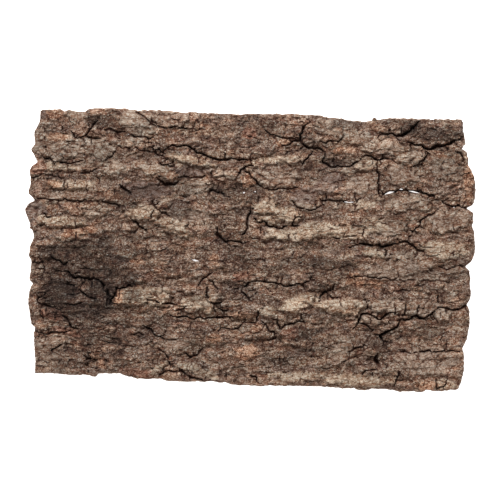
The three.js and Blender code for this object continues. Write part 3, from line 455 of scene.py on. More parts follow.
# How far the borders of plates and of tints are drawn to the borders of scales
PLATE_SNAP = 0.8
TINT_SNAP = 0.9
# How much the tilt of the large, middling and small scales changes the height and the tone
SCALE_TILTS = (1.8, 1.3, 0.5)
TONE_TILTS = (0.12, 0.15, 0.12)
# Pale tones count for less than dark ones, because plates have pale tints already
PALE_SHARE = 0.36
# Where the bark is broken up, and its slow waves
BROKEN_SWING = (34, 15, 0.9, 43)
WAVE_SWING = (34, 10, 1.3, 70)
# Ledges worn into the bark: height of a step, and how steep it is
LEDGES = ((2.1, 6.0), (0.9, 4.0))
LEDGE_SHARE = 0.85

# The roughness of the sides is read on a ring of this size, so that it has no seam
RING_SIZE = 60

# The bark falls away near its rim
RIM_FALL = 4.5
RIM_FALL_REACH = 9.0
RIM_SWING = (14, 14, 0.3, 6)

# Patches are squarish ovals with ragged borders
PATCH_POWER = 2.4
PATCH_SWINGS = ((11, 6, 0.22, 11), (4, 3, 0.12, 12))
# How far past its size a patch of plate or tone is looked for
PATCH_SPREAD = 1.4
TONE_SPREAD = 1.6
PATCH_MARGIN = 6

# How cracks fade and vary in width, and how far beside one its cut can reach
CRACK_FADE = (8, 8, 1.3, 23)
CRACK_WIDTHS = (5, 5, 0.9, 21)
SEAM_WIDTHS = (5, 5, 0.45, 21)
CRACK_MARGIN = 4

# How the lines of cracks waver between the places that they are listed by
CRACK_STEP = 1.5
CRACK_WAVERS_RIGHT = ((6, 6, 1.3, 141), (3.0, 3.0, 1.1, 142))
CRACK_WAVERS_DOWN = ((6, 6, 1.3, 146), (3.0, 3.0, 1.1, 147))

# Small cracks: twigs leave the fissures, and checks lie anywhere, more than half of them upright
CRACK_SEED = 17
TWIG_EVERY = 3
TWIG_CHANCE = 0.45
CHECK_COUNT = 700
UPRIGHT_CHANCE = 0.6

# How the sky that a place sees is measured: directions, and grid steps looked at in each
SKY_DIRECTIONS = 8
SKY_REACHES = (1, 2, 3, 5, 8, 12, 18)

# The colour masks, four to an attribute of the mesh
MASK_LAYERS = {
    "relief": ("sky", "crest", "side", "under"),
    "tint_one": ("grey", "tan", "fresh", "red"),
    "tint_two": ("dark", "plum", "pink", "tone"),
    "breaks": ("crack", "large_gap", "middling_gap", "groove"),
}
# How quickly red, green and blue follow the shade
CHANNEL_POWERS = (0.51, 0.82, 1.03)

# The flat map: left, bottom, width and height of each area
MAP_LENGTH = 460.0
MAP_WIDTH = 292.0
TOP_ON_MAP = (0.01, 0.37, 0.98, 0.62)
BASE_ON_MAP = (0.005, 0.005, 0.34, 0.22)
SIDES_ON_MAP = (0.37, 0.02, 0.62, 0.62)
SIDE_BAND = 0.08

# Nothing comes nearer than this to the sides of the CAD slab's box
BOX_MARGIN = 0.02

# The blades that cut the splits, from below the slab to above it
BLADE_LOW = -10.0
BLADE_HIGH = 40.0

# Loose flakes: how many shapes, the sides of each, and its rings' sizes and lifts in flake lengths
FLAKE_SHAPES = 3
FLAKE_SIDES = 9
FLAKE_RINGS = ((0.94, -0.1), (1.0, 0.05), (0.9, 0.09))
FLAKE_SHAPE_SEED = 40
FLAKE_SEED = 7

# The stage, in metres and watts. The camera frames the board at the height of the bark.
GROUND_HALF = 6.0
GROUND_LEVEL = -0.0005
ROOM_LIGHT = 0.95
KEY_PLACE = (-0.35, 1.1, 1.25)
KEY_SIZE = (0.7, 0.35)
KEY_POWER = 50
LENS = 135
BARK_LEVEL = 13 * MM


def cell_random(i, j, seed):
    """A repeatable random number from 0 to 1 for each cell of a grid."""
    mask = 0xFFFFFFFF
    h = (i * 374761393 & mask) ^ (j * 668265263 & mask) ^ (seed * 974634777 & mask)
    h = (h ^ (h >> 13)) * 1274126177 & mask
    return (h ^ (h >> 16)) / 2.0**32


def ease(t):
    """A soft step: 0 up to 0, and 1 from 1 on."""
    s = np.clip(t, 0.0, 1.0)
    return s * s * (3 - 2 * s)


def noise(x, y, seed):
    """Smooth noise from -1 to 1, one swing per unit."""
    i = np.floor(x).astype(np.int64)
    j = np.floor(y).astype(np.int64)
    u = ease(x - i)
    v = ease(y - j)
    low = cell_random(i, j, seed) * (1 - u) + cell_random(i + 1, j, seed) * u
    high = cell_random(i, j + 1, seed) * (1 - u) + cell_random(i + 1, j + 1, seed) * u
    return 2 * (low * (1 - v) + high * v) - 1


def swing(entry, x, y):
    """Smooth noise by one entry: size along, size across, height and seed."""
    size_x, size_y, height, seed = entry
    return height * noise(x / size_x, y / size_y, seed)


def swings(entries, x, y):
    return sum(swing(entry, x, y) for entry in entries)


def rough(x, y, size_x, size_y, seed, octaves):
    """Layered noise, each layer half the size of the one before, and fainter."""
    total = np.zeros_like(x)
    share = 1.0
    for octave in range(octaves):
        total += share * noise(x / size_x, y / size_y, seed + octave)
        size_x, size_y, share = size_x / 2, size_y / 2, share * LAYER_KEEP
    return total


def cells(x, y, size_x, size_y, seed):
    """Scattered cells: each place's cell centre, its level on the cell's plane, and the border gap."""
    u, v = x / size_x, y / size_y
    i, j = np.floor(u).astype(np.int64), np.floor(v).astype(np.int64)
    first = np.full(u.shape, 9.0)
    second = np.full(u.shape, 9.0)
    centre_u, centre_v, plane = u.copy(), v.copy(), np.zeros(u.shape)
    for di in (-1, 0, 1):
        for dj in (-1, 0, 1):
            ci, cj = i + di, j + dj
            cu = ci + 0.1 + 0.8 * cell_random(ci, cj, seed)
            cv = cj + 0.1 + 0.8 * cell_random(ci, cj, seed + 1)
            off = np.hypot(u - cu, v - cv)
            nearer = off < first
            second = np.where(nearer, first, np.minimum(second, off))
            level = cell_random(ci, cj, seed + 2) - 0.5
            lean_u = cell_random(ci, cj, seed + 3) - 0.5
            lean_v = cell_random(ci, cj, seed + 4) - 0.5
            plane = np.where(nearer, level + lean_u * (u - cu) + lean_v * (v - cv), plane)
            centre_u, centre_v = np.where(nearer, cu, centre_u), np.where(nearer, cv, centre_v)
            first = np.where(nearer, off, first)
    return centre_u * size_x, centre_v * size_y, plane, second - first


def blurred(field, radius):
    """The field averaged over about this many millimetres each way."""
    reach = max(1, int(round(radius / GRID_STEP)))
    for _ in range(2):
        for axis in (0, 1):
            before = np.repeat(np.take(field, [0], axis), reach + 1, axis)
            after = np.repeat(np.take(field, [-1], axis), reach, axis)
            total = np.cumsum(np.concatenate([before, field, after], axis), axis)
            size = field.shape[axis]
            upper = np.take(total, np.arange(2 * reach + 1, 2 * reach + 1 + size), axis)
            lower = np.take(total, np.arange(0, size), axis)
            field = (upper - lower) / (2 * reach + 1)
    return field


def read(field, across, down):
    """The field's values at board places between its grid points."""
    u = np.clip((across - GRID_ACROSS[0]) / GRID_STEP, 0, len(GRID_ACROSS) - 1.001)
    v = np.clip((down - GRID_DOWN[0]) / GRID_STEP, 0, len(GRID_DOWN) - 1.001)
    i, j = u.astype(int), v.astype(int)
    u, v = u - i, v - j
    low = field[j, i] * (1 - u) + field[j, i + 1] * u
    high = field[j + 1, i] * (1 - u) + field[j + 1, i + 1] * u
    return low * (1 - v) + high * v


def outline(pairs, place):
    """How far out one side of the outline lies at each place along it."""
    places, values = zip(*pairs)
    return np.interp(place, places, values)


def inset(across, down):
    """How far inside the outline each place is."""
    along = np.minimum(across - outline(LEFT_END, down), outline(RIGHT_END, down) - across)
    over = np.minimum(down - outline(FAR_EDGE, across), outline(NEAR_EDGE, across) - down)
    return np.minimum(along, over)


def arch_rise(y):
    """The plain arch of the inner face over the rest plane."""
    return ARCH_RISE * np.maximum(0.0, 1 - (y / ARCH_HALF) ** 2)


def inner_rise(x, y):
    """The inner face's height over the rest plane, at places on the slab in millimetres."""
    arch = arch_rise(y)
    return np.maximum(0.0, arch + swing(INNER_SWING, x, y) * ease(arch / 2))


def near(places, x, y, margin):
    """Which of the places x, y lie within a margin of the box round some others."""
    px, py = zip(*places)
    within = (x > min(px) - margin) & (x < max(px) + margin)
    return within & (y > min(py) - margin) & (y < max(py) + margin)


def ragged_path(places):
    """A crack's line with small steps and wavers between the places it is listed by."""
    points = [np.array(places[:1], float)]
    for start, end in zip(np.array(places[:-1], float), np.array(places[1:], float)):
        count = max(1, round(np.hypot(*(end - start)) / CRACK_STEP))
        shares = np.arange(1, count + 1)[:, None] / count
        points.append(start + (end - start) * shares)
    points = np.concatenate(points)
    px, py = points.T
    wavers = (swings(CRACK_WAVERS_RIGHT, px, py), swings(CRACK_WAVERS_DOWN, px, py))
    return points + np.stack(wavers, -1)


def small_cracks():
    """Short cracks over the whole bark: twigs off the fissures, and checks across the grain."""
    # Lengths, depths and half widths are in millimetres, and turns in radians
    dice = np.random.default_rng(CRACK_SEED)
    cracks = []

    def add(start, turn, length, depth, half_width):
        middle_turn = turn + dice.uniform(-0.5, 0.5)
        middle = start + length / 2 * np.array([np.cos(middle_turn), np.sin(middle_turn)])
        end = middle + length / 2 * np.array([np.cos(turn), np.sin(turn)])
        cracks.append((depth, half_width, tuple(start), tuple(middle), tuple(end)))

    for depth, half_width, *places in FISSURES:
        path = ragged_path(places)
        for k in range(2, len(path) - 1, TWIG_EVERY):
            if dice.random() < TWIG_CHANCE:
                along = np.arctan2(*(path[k + 1] - path[k - 1])[::-1])
                side = dice.choice((-1, 1)) * dice.uniform(0.7, 1.7)
                add(path[k], along + side, dice.uniform(3, 11), depth * 0.4, min(1.6, half_width * 0.6))
    for _ in range(CHECK_COUNT):
        start = np.array([dice.uniform(30, 472), dice.uniform(110, 390)])
        upright = dice.random() < UPRIGHT_CHANCE
        turn = dice.normal(np.pi / 2 if upright else 0.0, 0.35)
        length = dice.uniform(2.5, 8) if upright else dice.uniform(4, 13)
        add(start, turn, length, dice.uniform(0.5, 2.2), dice.uniform(0.6, 1.2))
    return cracks


def line_distance(path, x, y):
    """How far each place is from a line, and where along it the nearest point lies, from 0 to 1."""
    best = np.full(x.shape, 1e9)
    share = np.zeros(x.shape)
    for k, (start, end) in enumerate(zip(path[:-1], path[1:])):
        step = end - start
        t = np.clip(((x - start[0]) * step[0] + (y - start[1]) * step[1]) / max(step @ step, 1e-9), 0, 1)
        off = np.hypot(x - start[0] - t * step[0], y - start[1] - t * step[1])
        share = np.where(off < best, (k + t) / (len(path) - 1), share)
        best = np.minimum(best, off)
    return best, share


def tapered(share, least, quick):
    """1 along the middle of a line, falling to the least share at both ends."""
    return least + (1 - least) * ease(np.minimum(share, 1 - share) * quick)


def crack_cut(cracks, x, y):
    """How deep the cracks cut at each place, and how dark they make it."""
    deepest = np.zeros_like(x)
    darkest = np.zeros_like(x)
    for depth, half_width, *places in cracks:
        here = near(places, x, y, half_width + CRACK_MARGIN)
        px, py = x[here], y[here]
        off, share = line_distance(ragged_path(places), px, py)
        # A crack fades in stretches too, a deep one less than a shallow one
        held = 0.45 + 0.035 * depth
        fade = held + (1 - held) * ease(0.75 + swing(CRACK_FADE, px, py))
        opened = tapered(share, 0.35, 5) * fade
        width = (0.35 + 0.22 * half_width * (1 + swing(CRACK_WIDTHS, px, py))) * opened
        deepest[here] = np.maximum(deepest[here], depth * opened * (1 - ease(off / (1.4 * width) - 0.15)))
        # A crack is painted darker the deeper it is: partly its own dark inside, partly painted shade
        strength = min(1.0, 0.4 + depth / 5)
        darkest[here] = np.maximum(darkest[here], strength * (1 - ease(off / width - 0.3)))
    return deepest, darkest


def seam_depth(entry, x, y):
    """How deep a broad hollow between two ribs is at each place."""
    depth, half_width, *places = entry
    off, share = line_distance(np.array(places, float), x, y)
    width = half_width * (1 + swing(SEAM_WIDTHS, x, y))
    ends = tapered(share, 0.3, 4)
    return depth * ease((1 - np.clip(off / (width * ends), 0, 1)) * ends)


def patch_reach(entry, x, y):
    """How near a patch's border each place is: 0 at its middle, 1 at its border."""
    cx, cy, half_length, half_width, turn = entry
    c, s = np.cos(np.radians(turn)), np.sin(np.radians(turn))
    a = np.abs((x - cx) * c + (y - cy) * s) / half_length
    b = np.abs((y - cy) * c - (x - cx) * s) / half_width
    return (a**PATCH_POWER + b**PATCH_POWER) ** (1 / PATCH_POWER) + swings(PATCH_SWINGS, x, y)


def plates_laid(across, down, plate_x, plate_y, tint_x, tint_y):
    """How far the plates raise and sink the bark, and how strong each tint is, at each place."""
    raised = np.zeros_like(across)
    sunken = np.zeros_like(across)
    tints = {name: np.zeros_like(across) for name in TINTS}
    for *shape, lift, tint in PLATES:
        here = near([shape[:2]], across, down, max(shape[2:4]) * PATCH_SPREAD + PATCH_MARGIN)
        reach = patch_reach(shape, plate_x[here], plate_y[here])
        if lift > 0:
            body = (1 - ease((reach - 0.86) / 0.1)) * (1 - 0.2 * np.minimum(1, reach**2))
            raised[here] = np.maximum(raised[here], lift * body)
        else:
            sunken[here] = np.minimum(sunken[here], lift * (1 - ease((reach - 0.6) / 0.5)))
        reach = patch_reach(shape, tint_x[here], tint_y[here])
        tints[tint][here] = np.maximum(tints[tint][here], 1 - ease((reach - 0.84) / 0.2))
    return raised, sunken, tints


def tones_laid(across, down, tint_x, tint_y):
    """The tone at each place: below 0 darker, above 0 paler. The strongest patch wins."""
    tone = np.zeros_like(across)
    for *shape, depth in TONES:
        here = near([shape[:2]], across, down, max(shape[2:4]) * TONE_SPREAD + PATCH_MARGIN)
        reach = patch_reach((*shape, 0), tint_x[here], tint_y[here])
        patch = depth * (1 - ease((reach - 0.5) / 0.7))
        tone[here] = np.where(np.abs(patch) > np.abs(tone[here]), patch, tone[here])
    return tone


def sky_share(surface):
    """How much sky each place sees, from the steepest rise towards it in each direction."""
    sky = np.zeros_like(surface)
    for angle in np.arange(SKY_DIRECTIONS) * 2 * np.pi / SKY_DIRECTIONS:
        steepest = np.zeros_like(surface)
        for reach in SKY_REACHES:
            di, dj = int(round(reach * np.cos(angle))), int(round(reach * np.sin(angle)))
            far = np.roll(np.roll(surface, -dj, 0), -di, 1)
            steepest = np.maximum(steepest, (far - surface) / (GRID_STEP * np.hypot(di, dj)))
        sky += 1 - steepest / np.hypot(1, steepest)
    return sky / SKY_DIRECTIONS


def bark_fields(settings):
    """The heights of the bark face over the board grid, and the colour masks that go with them."""
    across, down = np.meshgrid(GRID_ACROSS, GRID_DOWN)
    x = across + swings(WAVERS_RIGHT, across, down)
    y = down + swings(WAVERS_DOWN, across, down)
    slab_x, slab_y = across - MIDDLE_RIGHT, MIDDLE_DOWN - down
    height = settings.body_thickness / MM + arch_rise(slab_y) + swings(RIB_SWINGS, x, y)
    for seam in SEAMS:
        height -= seam_depth(seam, x, y)

    # The bark breaks into scales of three sizes, and plates and tints end at the borders of scales
    bend_x = x + swing(SCALE_BEND_RIGHT, across, down)
    bend_y = y + swing(SCALE_BEND_DOWN, across, down)
    large = cells(bend_x, bend_y, *LARGE_SCALES)
    middling = cells(bend_x + MIDDLING_SHIFT, bend_y, *MIDDLING_SCALES)
    small = cells(x + SMALL_SHIFT, y, *SMALL_SCALES)
    plate_x = across + PLATE_SNAP * (middling[0] - MIDDLING_SHIFT - bend_x)
    plate_y = down + PLATE_SNAP * (middling[1] - bend_y)
    tint_x = across + TINT_SNAP * (small[0] - SMALL_SHIFT - x)
    tint_y = down + TINT_SNAP * (small[1] - y)
    raised, sunken, tints = plates_laid(across, down, plate_x, plate_y, tint_x, tint_y)
    height += settings.plate_lift * raised + sunken

    # Thin layers wear back in ledges along the grain, less so on the sound plates
    sound = np.maximum.reduce([tints["tan"], tints["grey"], tints["plum"], tints["pink"]])
    waves = swing(WAVE_SWING, x, y) + 0.9 * rough(x, y, 16, 5.2, 71, 3)
    for scale, tilt in zip((large, middling, small), SCALE_TILTS):
        waves += tilt * scale[2]
    height += (1 - 0.6 * sound) * waves
    for step, steep in LEDGES:
        level = height / step
        fraction = level - np.floor(level)
        height += LEDGE_SHARE * step * (ease((fraction - 0.5) * steep + 0.5) - fraction)

    # Narrow cracks part the scales, and the bark falls away at its rim
    broken = ease(0.5 + swing(BROKEN_SWING, across, down))
    large_gap = (0.3 + 0.7 * broken) * (1 - ease(large[3] / 0.2))
    middling_gap = (0.3 + 0.7 * broken) * (1 - ease(middling[3] / 0.3))
    height -= settings.scale_cracks / MM * large_gap + 0.7 * middling_gap
    height += 0.08 * rough(x, y, 2.9, 2.3, 91, 2)
    rim = inset(across, down)
    height -= RIM_FALL * (1 - ease(rim / RIM_FALL_REACH)) * (0.7 + swing(RIM_SWING, x, y))
    height = np.maximum(height, inner_rise(slab_x, slab_y) + CORK_UNDER_BARK)

    # The masks come from the bark with its fissures cut
    tone = tones_laid(across, down, tint_x, tint_y)
    tone = np.where(tone > 0, PALE_SHARE * tone, tone)
    for scale, tilt in zip((large, middling, small), TONE_TILTS):
        tone += tilt * scale[2]
    cut = height - settings.fissure_depth * crack_cut(FISSURES, across, down)[0]
    # The sky, crest and groove masks follow the relief, and the bark material paints shade and light from
    # them
    masks = {
        "sky": sky_share(np.where(rim > -2, cut, 0)),
        "tone": 0.5 + TONE_SHARE * tone,
        "large_gap": large_gap,
        "middling_gap": middling_gap,
        "groove": np.clip(0.5 + (cut - blurred(cut, 1.4)) / 2.2, 0, 1),
        "crest": np.clip(0.5 + (cut - blurred(cut, 3.0)) / 3.0 + (cut - blurred(cut, 9.0)) / 7.0, 0, 1),
        **tints,
    }
    return height, masks


def board_places():
    """The board place of each bark face vertex: even steps, drawn to the rim near the sides."""
    share_x, share_y = np.meshgrid(np.linspace(0, 1, COLUMNS + 1), np.linspace(0, 1, ROWS + 1))
    from_left, from_far = share_x * LENGTH, share_y * WIDTH
    x0, y0 = MIDDLE_RIGHT - LENGTH / 2, MIDDLE_DOWN - WIDTH / 2
    across, down = x0 + from_left, y0 + from_far

    def pull(distance):
        return 1 - ease(distance / RIM_REACH)

    nibble_x = swing(NIBBLE_RIGHT, across, down)
    nibble_y = swing(NIBBLE_DOWN, across, down)
    out = SHOULDER_OUT
    pulled_x = (outline(LEFT_END, down) + out + nibble_x - x0) * pull(from_left)
    pulled_x += (outline(RIGHT_END, down) - out + nibble_x - x0 - LENGTH) * pull(LENGTH - from_left)
    pulled_y = (outline(FAR_EDGE, across) + out + nibble_y - y0) * pull(from_far)
    pulled_y += (outline(NEAR_EDGE, across) - out + nibble_y - y0 - WIDTH) * pull(WIDTH - from_far)
    return across + pulled_x, down + pulled_y


def rim_walk():
    """The rim's grid places, once round against the clock seen from above, with the way out at each."""
    walk = [(0, row, -1, 0) for row in range(ROWS)]
    walk += [(column, ROWS, 0, -1) for column in range(COLUMNS)]
    walk += [(COLUMNS, row, 1, 0) for row in range(ROWS, 0, -1)]
    walk += [(column, 0, 0, 1) for column in range(COLUMNS, 0, -1)]
    return np.array(walk)


def drawn_to_cracks(cracks, across, down):
    """Moves the vertices beside each crack onto it, one in every row or column that the crack passes."""
    step_x, step_y = LENGTH / COLUMNS, WIDTH / ROWS
    new_across, new_down = across.copy(), down.copy()
    taken = np.zeros(across.shape, bool)
    for _, _, *places in sorted(cracks, key=lambda crack: -crack[0]):
        path = ragged_path(places)
        shares = np.linspace(0, len(path) - 1, int(len(path) * CRACK_STEP / SPOT_STEP))
        spots = np.stack([np.interp(shares, np.arange(len(path)), path[:, k]) for k in (0, 1)], -1)
        u = (spots[:, 0] - MIDDLE_RIGHT + LENGTH / 2) / step_x
        v = (spots[:, 1] - MIDDLE_DOWN + WIDTH / 2) / step_y
        # A few rounds find where each spot lies among the vertices, which aren't evenly spaced
        for _ in range(4):
            u, v = np.clip(u, 0, COLUMNS - 0.001), np.clip(v, 0, ROWS - 0.001)
            i, j = u.astype(int), v.astype(int)
            fu, fv = u - i, v - j
            u = u + (spots[:, 0] - between(across, i, j, fu, fv)) / step_x
            v = v + (spots[:, 1] - between(down, i, j, fu, fv)) / step_y
        column, row = np.rint(u).astype(int), np.rint(v).astype(int)
        level = np.abs(np.gradient(u)) >= np.abs(np.gradient(v))
        miss = np.where(level, np.abs(u - column), np.abs(v - row))
        inside = (row >= 2) & (row <= ROWS - 2) & (column >= 2) & (column <= COLUMNS - 2)
        best = {}
        for k in np.flatnonzero(inside & (miss < MISS_LIMIT)):
            key = (row[k], column[k])
            if not taken[key] and (key not in best or miss[k] < miss[best[key]]):
                best[key] = k
        for key, k in best.items():
            new_across[key], new_down[key] = spots[k]
            taken[key] = True

    # A vertex goes back where its cell would fold or be squashed flat
    least = LEAST_CELL * step_x * step_y
    for _ in range(12):
        folded = np.zeros(across.shape, bool)
        for turn in range(4):
            ax, bx, cx = (corner(new_across, turn + k) for k in range(3))
            ay, by, cy = (corner(new_down, turn + k) for k in range(3))
            bad = (bx - ax) * (cy - by) - (by - ay) * (cx - bx) < least
            for k in range(4):
                corner(folded, k)[bad] = True
        folded &= (new_across != across) | (new_down != down)
        if not folded.any():
            break
        new_across[folded] = across[folded]
        new_down[folded] = down[folded]
    return new_across, new_down


def between(field, i, j, fu, fv):
    """The values of a vertex grid between its vertices."""
    low = field[j, i] * (1 - fu) + field[j, i + 1] * fu
    high = field[j + 1, i] * (1 - fu) + field[j + 1, i + 1] * fu
    return low * (1 - fv) + high * fv


def corner(field, turn):
    """One corner of every cell of a vertex grid, counted round the cell."""
    return (field[:-1, :-1], field[:-1, 1:], field[1:, 1:], field[1:, :-1])[turn % 4]


def bark_faces(number, level):
    """Two triangles to each cell, parted along its lower diagonal so that the cracks stay open."""
    a, b, c, d = (corner(number, k) for k in range(4))
    fall = (level[a] + level[c] < level[b] + level[d])[..., None]
    first = np.where(fall, np.stack([a, d, c], -1), np.stack([a, d, b], -1))
    second = np.where(fall, np.stack([a, c, b], -1), np.stack([b, d, c], -1))
    return first.reshape(-1, 3).tolist() + second.reshape(-1, 3).tolist()


def side_rings(top, walk, number):
    """The sides' rings of points from the rim down, their faces, and the vertices of the lowest ring."""
    rim = top[walk[:, 1], walk[:, 0]]
    turns = 2 * np.pi * np.arange(len(walk)) / len(walk)
    ring_x, ring_y = RING_SIZE * np.cos(turns), RING_SIZE * np.sin(turns)
    foot = inner_rise(rim[:, 0], rim[:, 1])
    upper = number[walk[:, 1], walk[:, 0]]
    count = number.size
    points, faces = [], []
    for share, out in SIDE_PROFILE:
        z = foot + share * (rim[:, 2] - foot)
        # Thin layers that run round the side, with rough and fine notches
        layer = 0.35 * noise(ring_x / 2.2 + 9, z / 0.9, 111)
        layer += 0.45 * noise(ring_x / 1.3, ring_y / 1.3 + z / 5, 112)
        layer += 0.25 * noise(ring_x * 1.6, ring_y * 1.6 + z / 1.4, 113)
        proud = out + layer
        points.append(np.stack([rim[:, 0] + walk[:, 2] * proud, rim[:, 1] + walk[:, 3] * proud, z], -1))
        lower = np.arange(count, count + len(walk))
        count += len(walk)
        faces += np.stack([upper, lower, np.roll(lower, -1), np.roll(upper, -1)], -1).tolist()
        upper = lower
    return np.concatenate(points), faces, upper


def inner_face(x, y, foot_ring, count):
    """The inner face's own points and its faces. It keeps every fourth vertex of the bark face."""
    inner = {}
    points, faces = [], []
    rows = range(0, ROWS + 1, INNER_EVERY)
    columns = range(0, COLUMNS + 1, INNER_EVERY)
    for row in rows:
        for column in columns:
            if (column, row) in foot_ring:
                inner[column, row] = foot_ring[column, row]
                continue
            px, py = x[row, column], y[row, column]
            rise = float(inner_rise(px, py))
            points.append((px, py, rise + min(rise, INNER_GRAIN) * float(noise(px / 14, py / 5, 121))))
            inner[column, row] = count
            count += 1

    def edge_line(start, end):
        """The vertices from one corner of a cell towards the next, with the foot's between them."""
        line = [inner[start]]
        on_side = start[0] == end[0] and start[0] in (0, COLUMNS)
        on_edge = start[1] == end[1] and start[1] in (0, ROWS)
        if on_side or on_edge:
            step = (np.sign(end[0] - start[0]), np.sign(end[1] - start[1]))
            for k in range(1, INNER_EVERY):
                line.append(foot_ring[start[0] + k * step[0], start[1] + k * step[1]])
        return line

    for row in rows[:-1]:
        for column in columns[:-1]:
            a, b = (column, row), (column + INNER_EVERY, row)
            c, d = (column + INNER_EVERY, row + INNER_EVERY), (column, row + INNER_EVERY)
            faces.append(edge_line(a, b) + edge_line(b, c) + edge_line(c, d) + edge_line(d, a))
    return np.array(points), faces


def slab_mesh(height, cracks, settings):
    """One closed mesh in millimetres: the bark face, the sawn sides and a coarser inner face."""
    across, down = drawn_to_cracks(cracks, *board_places())
    x, y = across - MIDDLE_RIGHT, MIDDLE_DOWN - down
    cut = settings.fissure_depth * crack_cut(cracks, across, down)[0]
    z = np.maximum(read(height, across, down) - cut, inner_rise(x, y) + CORK_UNDER_CRACKS)
    top = np.stack([x, y, z], -1)
    number = np.arange(z.size).reshape(z.shape)
    walk = rim_walk()
    side_points, side_faces, foot = side_rings(top, walk, number)
    foot_ring = dict(zip(map(tuple, walk[:, :2].tolist()), foot.tolist()))
    inner_points, inner_faces = inner_face(x, y, foot_ring, z.size + len(side_points))
    points = np.concatenate([top.reshape(-1, 3), side_points, inner_points])
    return points, bark_faces(number, z.ravel()) + side_faces + inner_faces


def new_object(name, points, faces):
    """A mesh object from points in millimetres."""
    mesh = bpy.data.meshes.new(name)
    mesh.from_pydata((np.asarray(points) * MM).tolist(), [], faces)
    mesh.update()
    thing = bpy.data.objects.new(name, mesh)
    bpy.context.collection.objects.link(thing)
    return thing


def split_blade(entry):
    """A thin upright blade along a split, pointed at both ends."""
    width, *places = entry
    path = [Vector((right - MIDDLE_RIGHT, MIDDLE_DOWN - down)) for right, down in places]
    if len(path) == 2:
        path.insert(1, (path[0] + path[1]) / 2)
    inner = path[1:-1]
    ring = [path[0]] + [p - Vector((0, width / 2)) for p in inner] + [path[-1]]
    ring += [p + Vector((0, width / 2)) for p in reversed(inner)]
    size = len(ring)
    points = [(p.x, p.y, level) for level in (BLADE_LOW, BLADE_HIGH) for p in ring]
    faces = [list(range(size))[::-1], list(range(size, 2 * size))]
    faces += [[k, (k + 1) % size, (k + 1) % size + size, k + size] for k in range(size)]
    return points, faces


def cut_splits(slab):
    """Cuts the splits right through the slab."""
    points, faces = [], []
    for entry in SPLITS:
        more, rings = split_blade(entry)
        faces += [[k + len(points) for k in ring] for ring in rings]
        points += more
    blades = new_object("split_blades", points, faces)
    cutter = slab.modifiers.new("Splits", "BOOLEAN")
    cutter.operation = "DIFFERENCE"
    cutter.solver = "MANIFOLD"
    cutter.object = blades
    bake_modifiers(slab)
    bpy.data.objects.remove(blades, do_unlink=True)


def bake_modifiers(thing):
    """Turns what the modifiers show into the object's own plain mesh."""
    graph = bpy.context.evaluated_depsgraph_get()
    mesh = bpy.data.meshes.new_from_object(thing.evaluated_get(graph))
    thing.modifiers.clear()
    old = thing.data
    thing.data = mesh
    bpy.data.meshes.remove(old)
    mesh.name = thing.name


def gathered(items, name, width=3, kind=float):
    """One property of every vertex, corner or face of a mesh."""
    values = np.empty(len(items) * width, kind)
    items.foreach_get(name, values)
    return values.reshape(-1, width) if width > 1 else values


def store_masks(mesh, masks, cracks):
    """Writes the colour masks to the mesh, four to an attribute, for the bark material to read."""
    places = gathered(mesh.vertices, "co") / MM
    across, down = places[:, 0] + MIDDLE_RIGHT, MIDDLE_DOWN - places[:, 1]
    up = gathered(mesh.vertices, "normal")[:, 2]
    rim = inset(across, down)
    values = {name: read(mask, across, down) for name, mask in masks.items()}
    values["crack"] = crack_cut(cracks, across, down)[1]
    # The side begins where the rim turns down, and the inner face where it turns under
    values["side"] = (1 - ease((rim - 0.4) / 2.4)) * (1 - ease((up - 0.35) / 0.4))
    values["under"] = ease((-up - 0.4) / 0.3) * (places[:, 2] < 7)
    for name, channels in MASK_LAYERS.items():
        attribute = mesh.color_attributes.new(name, "FLOAT_COLOR", "POINT")
        colors = np.clip(np.stack([values[channel] for channel in channels], -1), 0, 1)
        attribute.data.foreach_set("color", colors.ravel())


def on_map(area, u, v):
    """Places in one area of the flat map, from shares of its width and height."""
    left, bottom, width, height = area
    return np.stack([left + u * width, bottom + v * height], -1)


def store_unwrap(mesh):
    """A flat map: the bark face, the inner face beside it, and the sides in bands."""
    starts = gathered(mesh.polygons, "loop_start", 1, int)
    totals = gathered(mesh.polygons, "loop_total", 1, int)
    normals = np.repeat(gathered(mesh.polygons, "normal"), totals, 0)
    places = gathered(mesh.vertices, "co")[gathered(mesh.loops, "vertex_index", 1, int)] / MM
    middle = np.repeat(np.add.reduceat(places, starts) / totals[:, None], totals, 0)
    rim = inset(middle[:, 0] + MIDDLE_RIGHT, MIDDLE_DOWN - middle[:, 1])
    x, y, z = places.T
    u, v = x / MAP_LENGTH + 0.5, y / MAP_WIDTH + 0.5
    # What looks up inside the rim is the bark face, and what looks down near the ground the inner face
    on_top = (normals[:, 2] > 0) & (rim > 1.2)
    on_base = (normals[:, 2] < -0.5) & (middle[:, 2] < 8) & (rim > -2)

    # Each of the four sides has its own band
    lengthways = np.abs(normals[:, 1]) >= np.abs(normals[:, 0])
    band = np.where(lengthways, np.where(normals[:, 1] > 0, 0, 1), np.where(normals[:, 0] > 0, 2, 3))
    uv = on_map(SIDES_ON_MAP, np.where(lengthways, u, y / MAP_LENGTH + 0.5), z / MAP_LENGTH)
    uv[:, 1] += SIDE_BAND * band
    uv[on_top] = on_map(TOP_ON_MAP, u, v)[on_top]
    uv[on_base] = on_map(BASE_ON_MAP, u, v)[on_base]
    layer = mesh.uv_layers.new(name="OFBake")
    layer.data.foreach_set("uv", uv.astype(np.float32).ravel())


def fill(tree, socket, value):
    """Sets an input to a value, or links another node's output to it."""
    if isinstance(value, bpy.types.NodeSocket):
        tree.links.new(value, socket)
    else:
        socket.default_value = value


def add_node(tree, kind, properties=None, **inputs):
    """Adds a node. An input is given by name, with _ for a space, or as i and its number."""
    node = tree.nodes.new(kind)
    for key, value in (properties or {}).items():
        setattr(node, key, value)
    for key, value in inputs.items():
        numbered = key[0] == "i" and key[1:].isdigit()
        fill(tree, node.inputs[int(key[1:]) if numbered else key.replace("_", " ")], value)
    return node


